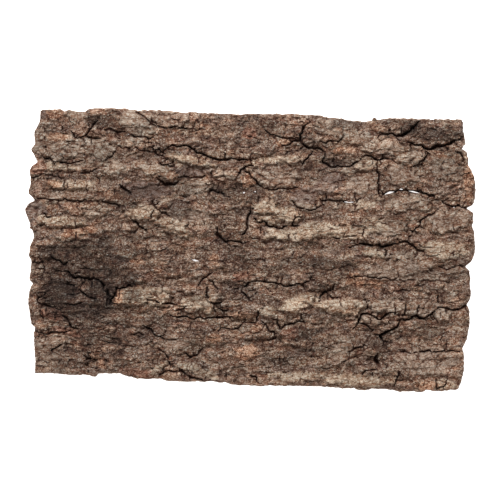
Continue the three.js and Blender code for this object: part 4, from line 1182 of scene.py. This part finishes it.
class Shader:
    """Adds nodes to a material in few words."""

    def __init__(self, name):
        self.material = bpy.data.materials.new(name)
        self.material.use_nodes = True
        self.tree = self.material.node_tree
        self.tree.nodes.clear()

    def add(self, kind, properties=None, **inputs):
        return add_node(self.tree, kind, properties, **inputs)

    def maths(self, operation, a, b=0.0):
        return self.add("ShaderNodeMath", {"operation": operation}, i0=a, i1=b).outputs[0]

    def product(self, *factors):
        """All the factors multiplied together."""
        total = factors[0]
        for factor in factors[1:]:
            total = self.maths("MULTIPLY", total, factor)
        return total

    def total(self, *parts):
        """The sum of the parts, each given with its weight."""
        total = self.product(*parts[0])
        for part in parts[1:]:
            total = self.maths("ADD", total, self.product(*part))
        return total

    def rest(self, share):
        """What a share leaves of 1."""
        return self.maths("SUBTRACT", 1.0, share)

    def centred(self, value):
        """A value round a half, made a value round 0."""
        return self.maths("SUBTRACT", value, 0.5)

    def blend(self, share, a, b):
        """A share of colour b laid over colour a."""
        mixing = {"data_type": "RGBA", "clamp_factor": True}
        return self.add("ShaderNodeMix", mixing, i0=share, i6=a, i7=b).outputs[2]

    def laid(self, color, layers):
        """Lays tints over a colour, each by its mask, the mask's low and high limit, and its strength."""
        for mask, low, high, strength, tint in layers:
            color = self.blend(self.ramp(mask, low, high, 0.0, strength), color, rgba(tint))
        return color

    def ramp(self, value, low, high, out_low=0.0, out_high=1.0):
        """A soft step of the value between two limits."""
        node = self.add(
            "ShaderNodeMapRange", {"interpolation_type": "SMOOTHSTEP"}, Value=value,
            From_Min=low, From_Max=high, To_Min=out_low, To_Max=out_high,
        )
        return node.outputs[0]

    def stretched(self, size_mm):
        """Object coordinates counted in pattern sizes, each in millimetres along X, Y and Z."""
        coordinates = self.add("ShaderNodeTexCoord").outputs["Object"]
        scale = [1 / (size * MM) for size in size_mm]
        return self.add("ShaderNodeMapping", Vector=coordinates, Scale=scale).outputs[0]

    def speckle(self, size_mm, detail, roughness, distortion=0.0):
        node = self.add(
            "ShaderNodeTexNoise", Vector=self.stretched(size_mm), Scale=1.0,
            Detail=detail, Roughness=roughness, Distortion=distortion,
        )
        return node.outputs[0]

    def bent(self, size_mm, waver_scale, bend):
        """Places counted in pattern sizes, wavering a little so that borders of cells aren't straight."""
        places = self.stretched(size_mm)
        waver = self.add("ShaderNodeTexNoise", Vector=places, Scale=waver_scale, Detail=3.0)
        moved = self.add(
            "ShaderNodeVectorMath", {"operation": "MULTIPLY_ADD"},
            i0=waver.outputs["Color"], i1=(bend,) * 3, i2=places,
        )
        return moved.outputs[0]

    def cracks(self, size_mm, low, high, bend=0.35):
        """Dark lines round scattered cells, bent a little: 0 on a line and 1 away from it."""
        places = self.bent(size_mm, 1.7, bend)
        node = self.add("ShaderNodeTexVoronoi", {"feature": "DISTANCE_TO_EDGE"}, Vector=places, Scale=1.0)
        return self.ramp(node.outputs[0], low, high)

    def scales(self, size_mm, bend=0.5):
        """Three random numbers for each of many scattered cells, with sharp bent borders."""
        node = self.add("ShaderNodeTexVoronoi", Vector=self.bent(size_mm, 1.6, bend), Scale=1.0)
        return self.add("ShaderNodeSeparateColor", Color=node.outputs["Color"]).outputs

    def ledges(self, size_mm, steps):
        """Thin layers worn back in steps: each place's level, and 1 in the line under an edge, which the
        bark darkens as a painted shadow.
        """
        layer = self.product(self.speckle(size_mm, 4, 0.6, 0.3), steps)
        part = self.maths("FRACT", layer)
        level = self.maths("ADD", self.maths("FLOOR", layer), self.ramp(part, 0.45, 0.55))
        off = self.maths("ABSOLUTE", self.maths("SUBTRACT", part, 0.45))
        return level, self.ramp(off, 0.2, 0.0)

    def channels(self, name):
        """The four channels of a colour attribute."""
        source = {"attribute_type": "GEOMETRY", "attribute_name": name}
        attribute = self.add("ShaderNodeAttribute", source)
        split = self.add("ShaderNodeSeparateColor", Color=attribute.outputs["Color"])
        return list(split.outputs) + [attribute.outputs["Alpha"]]

    def finish(self, color, roughness, specular, **inputs):
        """Ends the material in a plain surface, with any more of its inputs by name."""
        surface = self.add(
            "ShaderNodeBsdfPrincipled", Base_Color=color, Roughness=roughness,
            Specular_IOR_Level=specular, **inputs,
        )
        self.add("ShaderNodeOutputMaterial", Surface=surface.outputs[0])
        return self.material


def rgba(color):
    return (*color[:3], 1.0)


def side_cork(bark, settings, mottle, layers):
    """The sawn and torn sides: the cork itself, in thin layers with small pores."""
    pores = bark.cracks((2.6, 2.6, 5.0), 0.03, 0.2)
    cork = bark.blend(bark.ramp(layers, 0.38, 0.62), rgba(settings.side_brown), rgba(settings.side_tan))
    cork = bark.blend(bark.product(bark.rest(pores), 0.6), cork, rgba(settings.bark_dark_and_hollow_shade))
    return bark.laid(cork, ((mottle, 0.55, 0.75, 0.6, settings.bark_grey),))


def inner_cork(bark, settings):
    """The inner face: smooth and reddish, with long pores along the grain."""
    streaks = bark.speckle((38, 3.2, 10), 4, 0.6, 0.3)
    pits = bark.speckle((5.5, 1.6, 5), 2, 0.5)
    streaked = bark.ramp(streaks, 0.35, 0.65)
    cork = bark.blend(streaked, rgba(settings.inner_brown), rgba(settings.inner_tan))
    return bark.laid(cork, ((pits, 0.62, 0.72, 0.75, settings.bark_dark_and_hollow_shade),))


def bark_material(settings):
    """Weathered cork bark: tints by plate, crests painted pale as light, cracks and hollows painted dark
    as shade, sawn cork at the sides.
    """
    bark = Shader("weathered_cork_bark")
    sky, crest, side, under = bark.channels("relief")
    grey, tan, fresh, red = bark.channels("tint_one")
    dark, plum, pink, tone = bark.channels("tint_two")
    crack, large_gap, middling_gap, groove = bark.channels("breaks")

    # Patterns, by their sizes in millimetres along the grain, across it and through the cork
    mottle = bark.speckle((14, 6, 9), 5, 0.62, 0.6)
    grains = bark.speckle((0.95, 1.0, 1.0), 2, 0.7)
    fibres = bark.speckle((5.0, 0.8, 1.2), 3, 0.7, 0.3)
    patches = bark.speckle((30, 12, 20), 3, 0.55, 1.0)
    layers = bark.speckle((26, 26, 1.1), 3, 0.6, 0.3)
    crackle = bark.cracks((3.5, 3.0, 3.3), 0.04, 0.17, 0.9)
    hairline = bark.rest(bark.cracks((8.5, 5.5, 7.0), 0.02, 0.1, 1.0))
    open_here = bark.ramp(bark.speckle((7, 4, 6), 3, 0.6), 0.44, 0.54)
    check = bark.rest(bark.cracks((12.0, 13.0, 12.0), 0.015, 0.05, 1.4))
    checked = bark.ramp(bark.speckle((14, 10, 16), 2, 0.5), 0.42, 0.52)
    furrow = bark.rest(bark.cracks((24.0, 6.0, 12.0), 0.02, 0.08, 1.2))
    furrowed = bark.ramp(bark.speckle((30, 8, 16), 2, 0.5), 0.42, 0.55)
    broad_level, broad_line = bark.ledges((22, 8, 14), 9)
    fine_level, fine_line = bark.ledges((8, 3.8, 6), 7)
    slabs = bark.scales((15, 8, 12), 0.7)
    scales = bark.scales((6, 3.8, 5), 0.6)
    chips = bark.scales((1.7, 1.8, 1.8))
    line_share = bark.maths("MAXIMUM", bark.product(hairline, open_here), bark.product(hairline, 0.35))
    check_share = bark.maths("MAXIMUM", bark.product(check, checked), bark.product(furrow, furrowed))
    ledge_line = bark.maths("MAXIMUM", bark.product(broad_line, 0.42), bark.product(fine_line, 0.3))

    # Plain bark in two browns, with grey patches and scales of other tints
    mottled = bark.ramp(mottle, 0.36, 0.64)
    color = bark.blend(mottled, rgba(settings.bark_brown), rgba(settings.bark_pink))
    color = bark.laid(color, (
        (patches, 0.5, 0.68, 0.6, settings.bark_grey),
        (slabs[0], 0.66, 0.7, 0.4, settings.lichen_tan),
        (slabs[1], 0.78, 0.82, 0.3, settings.fresh_cork),
        (slabs[2], 0.7, 0.74, 0.4, settings.bark_plum),
        (scales[0], 0.86, 0.9, 0.38, settings.fresh_cork),
        (scales[1], 0.84, 0.88, 0.15, settings.pale_tint_and_crest_light),
        (scales[2], 0.86, 0.9, 0.3, settings.cork_red),
        (chips[0], 0.75, 0.79, 0.2, settings.lichen_tan),
        (chips[1], 0.88, 0.92, 0.35, settings.bark_dark_and_hollow_shade),
    ))

    # The plates' own tints, broken up by the mottling
    uneven = bark.product(bark.centred(mottle), 0.9)
    color = bark.laid(color, (
        (bark.maths("ADD", mask, uneven), low, high, strength, tint)
        for mask, low, high, strength, tint in (
            (pink, 0.2, 0.7, 0.7, settings.bark_pink),
            (plum, 0.2, 0.7, 0.8, settings.bark_plum),
            (grey, 0.3, 0.8, 0.6, settings.bark_grey),
            (tan, 0.3, 0.85, 0.75, settings.lichen_tan),
            (red, 0.3, 0.85, 0.7, settings.cork_red),
            (fresh, 0.3, 0.9, 0.75, settings.fresh_cork),
            (dark, 0.3, 0.9, 0.15, settings.bark_dark_and_hollow_shade),
        )
    ))

    # Painted light and shade: crests are painted pale as light, hollows and places that see little sky
    # are painted dark as shade, and the cracks and the gaps between scales are painted near black, partly
    # their own dark inside and partly painted shade, with frayed borders
    frayed = bark.maths("ADD", crack, bark.product(bark.centred(grains), 0.5))
    color = bark.laid(color, (
        (crest, 0.6, 1.0, 0.12, settings.pale_tint_and_crest_light),
        (crest, 0.35, 0.05, 0.2, settings.bark_dark_and_hollow_shade),
        (sky, 0.4, 0.1, 0.4, settings.crack_dark_and_shade),
        (large_gap, 0.3, 1.0, 0.5, settings.crack_dark_and_shade),
        (middling_gap, 0.3, 1.0, 0.3, settings.crack_dark_and_shade),
        (frayed, 0.25, 0.75, 0.97, settings.crack_dark_and_shade),
    ))

    # The tone patches, worn unevenly. Loose and dark bark is more gritty than the sound plates.
    tone = bark.maths("DIVIDE", bark.centred(tone), TONE_SHARE)
    worn = bark.product(bark.rest(tone), bark.centred(mottle), 0.7)
    tone_shade = bark.maths("POWER", 5.0, bark.maths("ADD", tone, worn))
    sound = bark.maths("MAXIMUM", bark.maths("MAXIMUM", tan, grey), bark.maths("MAXIMUM", plum, pink))
    loose = bark.rest(bark.product(sound, 0.4))
    gritty = bark.maths("ADD", loose, bark.ramp(tone, -0.3, -1.0, 0.0, 0.6))
    grain_swing = bark.product(bark.ramp(grains, 0.38, 0.62, -1.05, 1.05), gritty)
    grain_shade = bark.maths("MAXIMUM", bark.maths("ADD", grain_swing, 1.0), 0.12)
    # The shade also holds painted shade: darker in the narrow grooves of the relief, and a painted shadow
    # line under each worn ledge
    shade = bark.product(
        grain_shade,
        bark.ramp(fibres, 0.32, 0.68, 0.95, 1.05),
        bark.rest(bark.product(bark.rest(crackle), loose, 0.7)),
        bark.rest(bark.product(line_share, 0.8)),
        bark.rest(bark.product(check_share, 0.75)),
        bark.ramp(slabs[1], 0.0, 1.0, 0.93, 1.07),
        bark.ramp(scales[1], 0.0, 1.0, 0.9, 1.1),
        bark.ramp(chips[2], 0.0, 1.0, 0.86, 1.14),
        bark.ramp(groove, 0.2, 0.6, 0.65, 1.04),
        bark.rest(ledge_line),
        tone_shade,
        1.85,
    )

    # Highlights level off, and the darks keep more of their red than of their blue
    softener = bark.maths("ADD", 1.0, bark.product(shade, 0.5))
    levelled = bark.maths("DIVIDE", bark.product(shade, 1.5), softener)
    channels = []
    for power in CHANNEL_POWERS:
        from_shade = bark.maths("POWER", levelled, power)
        from_tone = bark.maths("POWER", tone_shade, 0.54 - 0.56 * power)
        channels.append(bark.product(from_shade, from_tone))
    red_part, green_part, blue_part = channels
    shades = bark.add("ShaderNodeCombineXYZ", X=red_part, Y=green_part, Z=blue_part).outputs[0]
    color = bark.add("ShaderNodeVectorMath", {"operation": "MULTIPLY"}, i0=color, i1=shades).outputs[0]
    color = bark.blend(bark.product(side, 0.85), color, side_cork(bark, settings, mottle, layers))
    color = bark.blend(under, color, inner_cork(bark, settings))

    relief = bark.total(
        (grains, 0.6), (fibres, 0.15), (line_share, -0.5), (crackle, 0.25), (check_share, -0.6),
        (broad_level, 0.2), (fine_level, 0.15), (layers, side, 0.8),
    )
    bump = bark.add("ShaderNodeBump", Strength=0.75, Distance=1.3 * MM, Height=relief)
    roughness = bark.ramp(grains, 0.2, 0.8, 0.97, 0.82)
    return bark.finish(color, roughness, 0.25, Normal=bump.outputs[0])


def ground_material():
    ground = Shader("white_ground")
    return ground.finish((0.9, 0.9, 0.9, 1), 0.9, 0.1, Emission_Color=(1, 1, 1, 1), Emission_Strength=1.0)


def color_setting(name, description, default):
    return FloatVectorProperty(
        name=name, description=description, subtype="COLOR", size=3, min=0, max=1, default=default,
    )


def linear(*screen):
    """A colour from 0 to 255 on screen, as Blender's linear values."""
    return tuple(((value / 255 + 0.055) / 1.055) ** 2.4 for value in screen)


class CorkSlabSettings(PropertyGroup):
    body_thickness: FloatProperty(
        name="Body thickness", description="Cork from the inner face to the plain bark",
        default=17.5 * MM, min=0.01, max=0.03, unit="LENGTH",
    )
    plate_lift: FloatProperty(
        name="Plate lift", description="How far the plates stand up, against their listed lift",
        default=0.9, min=0, max=1.2, subtype="FACTOR",
    )
    fissure_depth: FloatProperty(
        name="Fissure depth", description="How deep the fissures cut, against their listed depth",
        default=1.0, min=0, max=1.2, subtype="FACTOR",
    )
    scale_cracks: FloatProperty(
        name="Scale cracks", description="Depth of the cracks between the bark's small scales",
        default=1.5 * MM, min=0, max=0.004, unit="LENGTH",
    )
    flake_count: IntProperty(
        name="Flakes", description="Loose flakes scattered over the bark face",
        default=1300, min=0, max=4000,
    )
    flake_size: FloatProperty(
        name="Flake size", description="Length of a middling flake",
        default=6.5 * MM, min=0.001, max=0.01, unit="LENGTH",
    )
    bark_brown: color_setting("Bark brown", "Plain bark", linear(97, 81, 70))
    bark_pink: color_setting("Pinkish bark", "Plain bark where it turns pink", linear(117, 101, 89))
    bark_grey: color_setting("Weathered grey", "Weathered plates", linear(123, 110, 98))
    lichen_tan: color_setting("Lichen tan", "Plates with a lichen film", linear(137, 122, 106))
    fresh_cork: color_setting("Fresh cork", "Cork bared where a flake came off", linear(142, 112, 91))
    cork_red: color_setting("Red cork", "Reddish inner bark", linear(122, 86, 70))
    bark_plum: color_setting("Plum brown", "Smooth sunken bark", linear(93, 77, 70))
    # Dark bark is dirt and old char, and also painted shade in the hollows between crests
    bark_dark_and_hollow_shade: color_setting("Dark bark", "Dirt and old char", linear(72, 58, 49))
    # Pale crest is painted light on the crests, and also a pale tint on some scales
    pale_tint_and_crest_light: color_setting("Pale crest", "Worn crests", linear(161, 143, 126))
    # Crack black is the cracks' own dark inside, and painted shade in the cracks, the gaps between scales
    # and the hollows that see little sky
    crack_dark_and_shade: color_setting("Crack black", "The bottom of the cracks", linear(60, 34, 22))
    side_brown: color_setting("Side brown", "Darker layers at the sides", linear(96, 74, 60))
    side_tan: color_setting("Side tan", "Lighter layers at the sides", linear(134, 107, 86))
    inner_brown: color_setting("Inner brown", "Darker streaks of the inner face", linear(102, 78, 64))
    inner_tan: color_setting("Inner tan", "Lighter streaks of the inner face", linear(138, 111, 90))


def settings_now():
    return bpy.context.scene.cork_slab


def box_of_frame():
    """The CAD slab's box in millimetres, drawn in a hair so that nothing passes it."""
    low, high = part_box("cork_bark_slab")
    low, high = np.array(low) / MM, np.array(high) / MM
    return low + (BOX_MARGIN, BOX_MARGIN, 0), high - BOX_MARGIN


class CORKSLAB_OT_slab(Operator):
    """Make the slab: bark face, sides, inner face and the splits through it"""

    bl_idname = "corkslab.slab"
    bl_label = "Make the slab"

    def execute(self, context):
        settings = settings_now()
        height, masks = bark_fields(settings)
        cracks = list(FISSURES) + small_cracks()
        points, faces = slab_mesh(height, cracks, settings)
        low, high = box_of_frame()
        slab = new_object("bark_slab", np.clip(points, low, high), faces)
        cut_splits(slab)
        mesh = slab.data
        if not 100_000 < sum(len(face.vertices) - 2 for face in mesh.polygons) < 200_000:
            raise RuntimeError("The slab has lost its bark face, or has too many triangles.")
        mesh.shade_smooth()
        mesh.set_sharp_from_angle(angle=SHARP_ANGLE)
        store_masks(mesh, masks, cracks)
        store_unwrap(mesh)
        mesh.materials.clear()
        mesh.materials.append(bark_material(settings))
        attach(slab, "root")
        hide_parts("cork_bark_slab")
        return {"FINISHED"}


def flake_object(shape):
    """One flake: a thin scale of bark, ragged at its rim and a little domed."""
    dice = np.random.default_rng(FLAKE_SHAPE_SEED + shape)
    uneven = dice.uniform(0, 2 * np.pi, FLAKE_SIDES) * 0.35
    turns = np.sort(uneven + np.arange(FLAKE_SIDES) * 0.65 * 2 * np.pi / FLAKE_SIDES)
    reach = dice.uniform(0.62, 1.0, FLAKE_SIDES)
    u, v = 0.5 * reach * np.cos(turns), 0.26 * reach * np.sin(turns)
    tilt = dice.uniform(-0.015, 0.015, FLAKE_SIDES)
    points = [(a * size, b * size, lift + t) for size, lift in FLAKE_RINGS for a, b, t in zip(u, v, tilt)]
    points += [(0.02, 0.0, 0.1), (0, 0, -0.12)]
    crown, root = len(points) - 2, len(points) - 1
    last = (len(FLAKE_RINGS) - 1) * FLAKE_SIDES
    faces = []
    for k in range(FLAKE_SIDES):
        following = (k + 1) % FLAKE_SIDES
        for base in range(0, last, FLAKE_SIDES):
            above = base + FLAKE_SIDES
            faces.append((base + k, base + following, above + following, above + k))
        faces.append((last + k, last + following, crown))
        faces.append((following, k, root))
    mesh = bpy.data.meshes.new(f"flake_{shape}")
    mesh.from_pydata(points, [], faces)
    mesh.update()
    return bpy.data.objects.new(f"flake_{shape}", mesh)


def flake_tree(shapes, material):
    """Geometry Nodes that scatter flakes over the upper side of what they are given."""
    tree = bpy.data.node_groups.new("Scatter flakes", "GeometryNodeTree")
    face = tree.interface
    face.new_socket("Bark", in_out="INPUT", socket_type="NodeSocketGeometry")
    kinds = {"Density": "NodeSocketFloat", "Flake size": "NodeSocketFloat", "Seed": "NodeSocketInt"}
    sockets = {
        name: face.new_socket(name, in_out="INPUT", socket_type=kind).identifier
        for name, kind in kinds.items()
    }
    face.new_socket("Flakes", in_out="OUTPUT", socket_type="NodeSocketGeometry")

    def add(kind, properties=None, **inputs):
        return add_node(tree, kind, properties, **inputs)

    def chance(low, high, seed):
        node = add("FunctionNodeRandomValue", {"data_type": "FLOAT"}, i2=low, i3=high, Seed=seed)
        return node.outputs[1]

    given = add("NodeGroupInput").outputs
    upward = add("ShaderNodeSeparateXYZ", Vector=add("GeometryNodeInputNormal").outputs[0]).outputs[2]
    facing_up = add(
        "FunctionNodeCompare", {"data_type": "FLOAT", "operation": "GREATER_THAN"}, i0=upward, i1=0.6,
    )
    points = add(
        "GeometryNodeDistributePointsOnFaces", {"distribute_method": "RANDOM"},
        Mesh=given["Bark"], Density=given["Density"], Seed=given["Seed"], Selection=facing_up.outputs[0],
    )
    turn = add(
        "ShaderNodeCombineXYZ",
        X=chance(-0.16, 0.16, 3), Y=chance(-0.16, 0.16, 4), Z=chance(-0.45, 0.45, 5),
    )
    rotation = add(
        "FunctionNodeAlignEulerToVector", {"axis": "Z", "pivot_axis": "AUTO"},
        Rotation=turn.outputs[0], Factor=0.6, Vector=points.outputs["Normal"],
    )
    size = add(
        "ShaderNodeMath", {"operation": "MULTIPLY"}, i0=given["Flake size"], i1=chance(0.45, 1.5, 6),
    )
    choice = add("FunctionNodeRandomValue", {"data_type": "INT"}, i4=0, i5=len(shapes) - 1, Seed=8)
    every = add("GeometryNodeJoinGeometry")
    for shape in shapes:
        info = add("GeometryNodeObjectInfo", Object=shape, As_Instance=True)
        tree.links.new(info.outputs["Geometry"], every.inputs[0])
    placed = add(
        "GeometryNodeInstanceOnPoints", Points=points.outputs["Points"], Instance=every.outputs[0],
        Pick_Instance=True, Instance_Index=choice.outputs[2],
        Rotation=rotation.outputs[0], Scale=size.outputs[0],
    )
    real = add("GeometryNodeRealizeInstances", Geometry=placed.outputs[0])
    finish = add("GeometryNodeSetMaterial", Geometry=real.outputs[0], Material=material)
    add("NodeGroupOutput", i0=finish.outputs[0])
    return tree, sockets


class CORKSLAB_OT_flakes(Operator):
    """Scatter loose flakes over the bark face"""

    bl_idname = "corkslab.flakes"
    bl_label = "Scatter the flakes"

    def execute(self, context):
        settings = settings_now()
        slab = bpy.data.objects["bark_slab"]
        shapes = [flake_object(shape) for shape in range(FLAKE_SHAPES)]
        tree, identifiers = flake_tree(shapes, slab.data.materials[0])
        flakes = bpy.data.objects.new("bark_flakes", slab.data.copy())
        context.collection.objects.link(flakes)
        scatter = flakes.modifiers.new("Flakes", "NODES")
        scatter.node_group = tree
        area = LENGTH * WIDTH * MM * MM
        scatter[identifiers["Density"]] = settings.flake_count / area
        scatter[identifiers["Flake size"]] = settings.flake_size
        scatter[identifiers["Seed"]] = FLAKE_SEED
        bake_modifiers(flakes)
        for shape in shapes:
            bpy.data.objects.remove(shape, do_unlink=True)
        mesh = flakes.data
        if len(mesh.vertices) == 0:
            raise RuntimeError("No flakes were scattered.")
        low, high = box_of_frame()
        values = np.clip(gathered(mesh.vertices, "co"), low * MM, high * MM)
        mesh.vertices.foreach_set("co", values.ravel())
        mesh.update()
        for name in [layer.name for layer in mesh.uv_layers]:
            mesh.uv_layers.remove(mesh.uv_layers[name])
        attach(flakes, "root")
        return {"FINISHED"}


class CORKSLAB_OT_stage(Operator):
    """Make the white ground, the soft lights and the camera looking straight down"""

    bl_idname = "corkslab.stage"
    bl_label = "Make the stage"

    def execute(self, context):
        scene = context.scene
        mesh = bpy.data.meshes.new("ground")
        corners = [(x * GROUND_HALF, y * GROUND_HALF, 0) for x, y in ((-1, -1), (1, -1), (1, 1), (-1, 1))]
        mesh.from_pydata(corners, [], [(0, 1, 2, 3)])
        ground = bpy.data.objects.new("ground", mesh)
        mesh.materials.append(ground_material())
        context.collection.objects.link(ground)
        ground.location = (0, 0, GROUND_LEVEL)

        world = bpy.data.worlds.new("soft_room")
        world.use_nodes = True
        background = world.node_tree.nodes["Background"]
        background.inputs["Color"].default_value = (1, 0.95, 0.9, 1)
        background.inputs["Strength"].default_value = ROOM_LIGHT
        scene.world = world

        key_data = bpy.data.lights.new("key_light", "AREA")
        key_data.shape = "RECTANGLE"
        key_data.size, key_data.size_y = KEY_SIZE
        key_data.energy = KEY_POWER
        key = bpy.data.objects.new("key_light", key_data)
        key.location = KEY_PLACE
        key.rotation_euler = (-Vector(KEY_PLACE)).to_track_quat("-Z", "Y").to_euler()
        context.collection.objects.link(key)

        camera_data = bpy.data.cameras.new("camera")
        camera_data.lens = LENS
        camera_data.sensor_width = 36
        camera_data.clip_end = 20
        camera = bpy.data.objects.new("camera", camera_data)
        camera.location = (
            (BOARD_SIZE / 2 - MIDDLE_RIGHT) * MM,
            (MIDDLE_DOWN - BOARD_SIZE / 2) * MM,
            BARK_LEVEL + BOARD_SIZE * MM * LENS / camera_data.sensor_width,
        )
        context.collection.objects.link(camera)
        scene.camera = camera
        scene.view_settings.view_transform = "Standard"
        scene.view_settings.look = "None"
        return {"FINISHED"}


class CORKSLAB_PT_panel(Panel):
    """The slab's sizes and colours, and the steps that make it"""

    bl_label = "Cork bark slab"
    bl_idname = "CORKSLAB_PT_panel"
    bl_space_type = "VIEW_3D"
    bl_region_type = "UI"
    bl_category = "Cork bark"

    def draw(self, context):
        for name in CorkSlabSettings.__annotations__:
            self.layout.prop(context.scene.cork_slab, name)
        for step in STEPS:
            self.layout.operator(step.bl_idname)


STEPS = (CORKSLAB_OT_slab, CORKSLAB_OT_flakes, CORKSLAB_OT_stage)
CLASSES = (CorkSlabSettings, *STEPS, CORKSLAB_PT_panel)


def register():
    for cls in CLASSES:
        bpy.utils.register_class(cls)
    bpy.types.Scene.cork_slab = PointerProperty(type=CorkSlabSettings)


def unregister():
    del bpy.types.Scene.cork_slab
    for cls in reversed(CLASSES):
        bpy.utils.unregister_class(cls)


def main():
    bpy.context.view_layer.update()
    register()
    bpy.ops.corkslab.slab()
    bpy.ops.corkslab.flakes()
    bpy.ops.corkslab.stage()


if __name__ == "__main__":
    main()
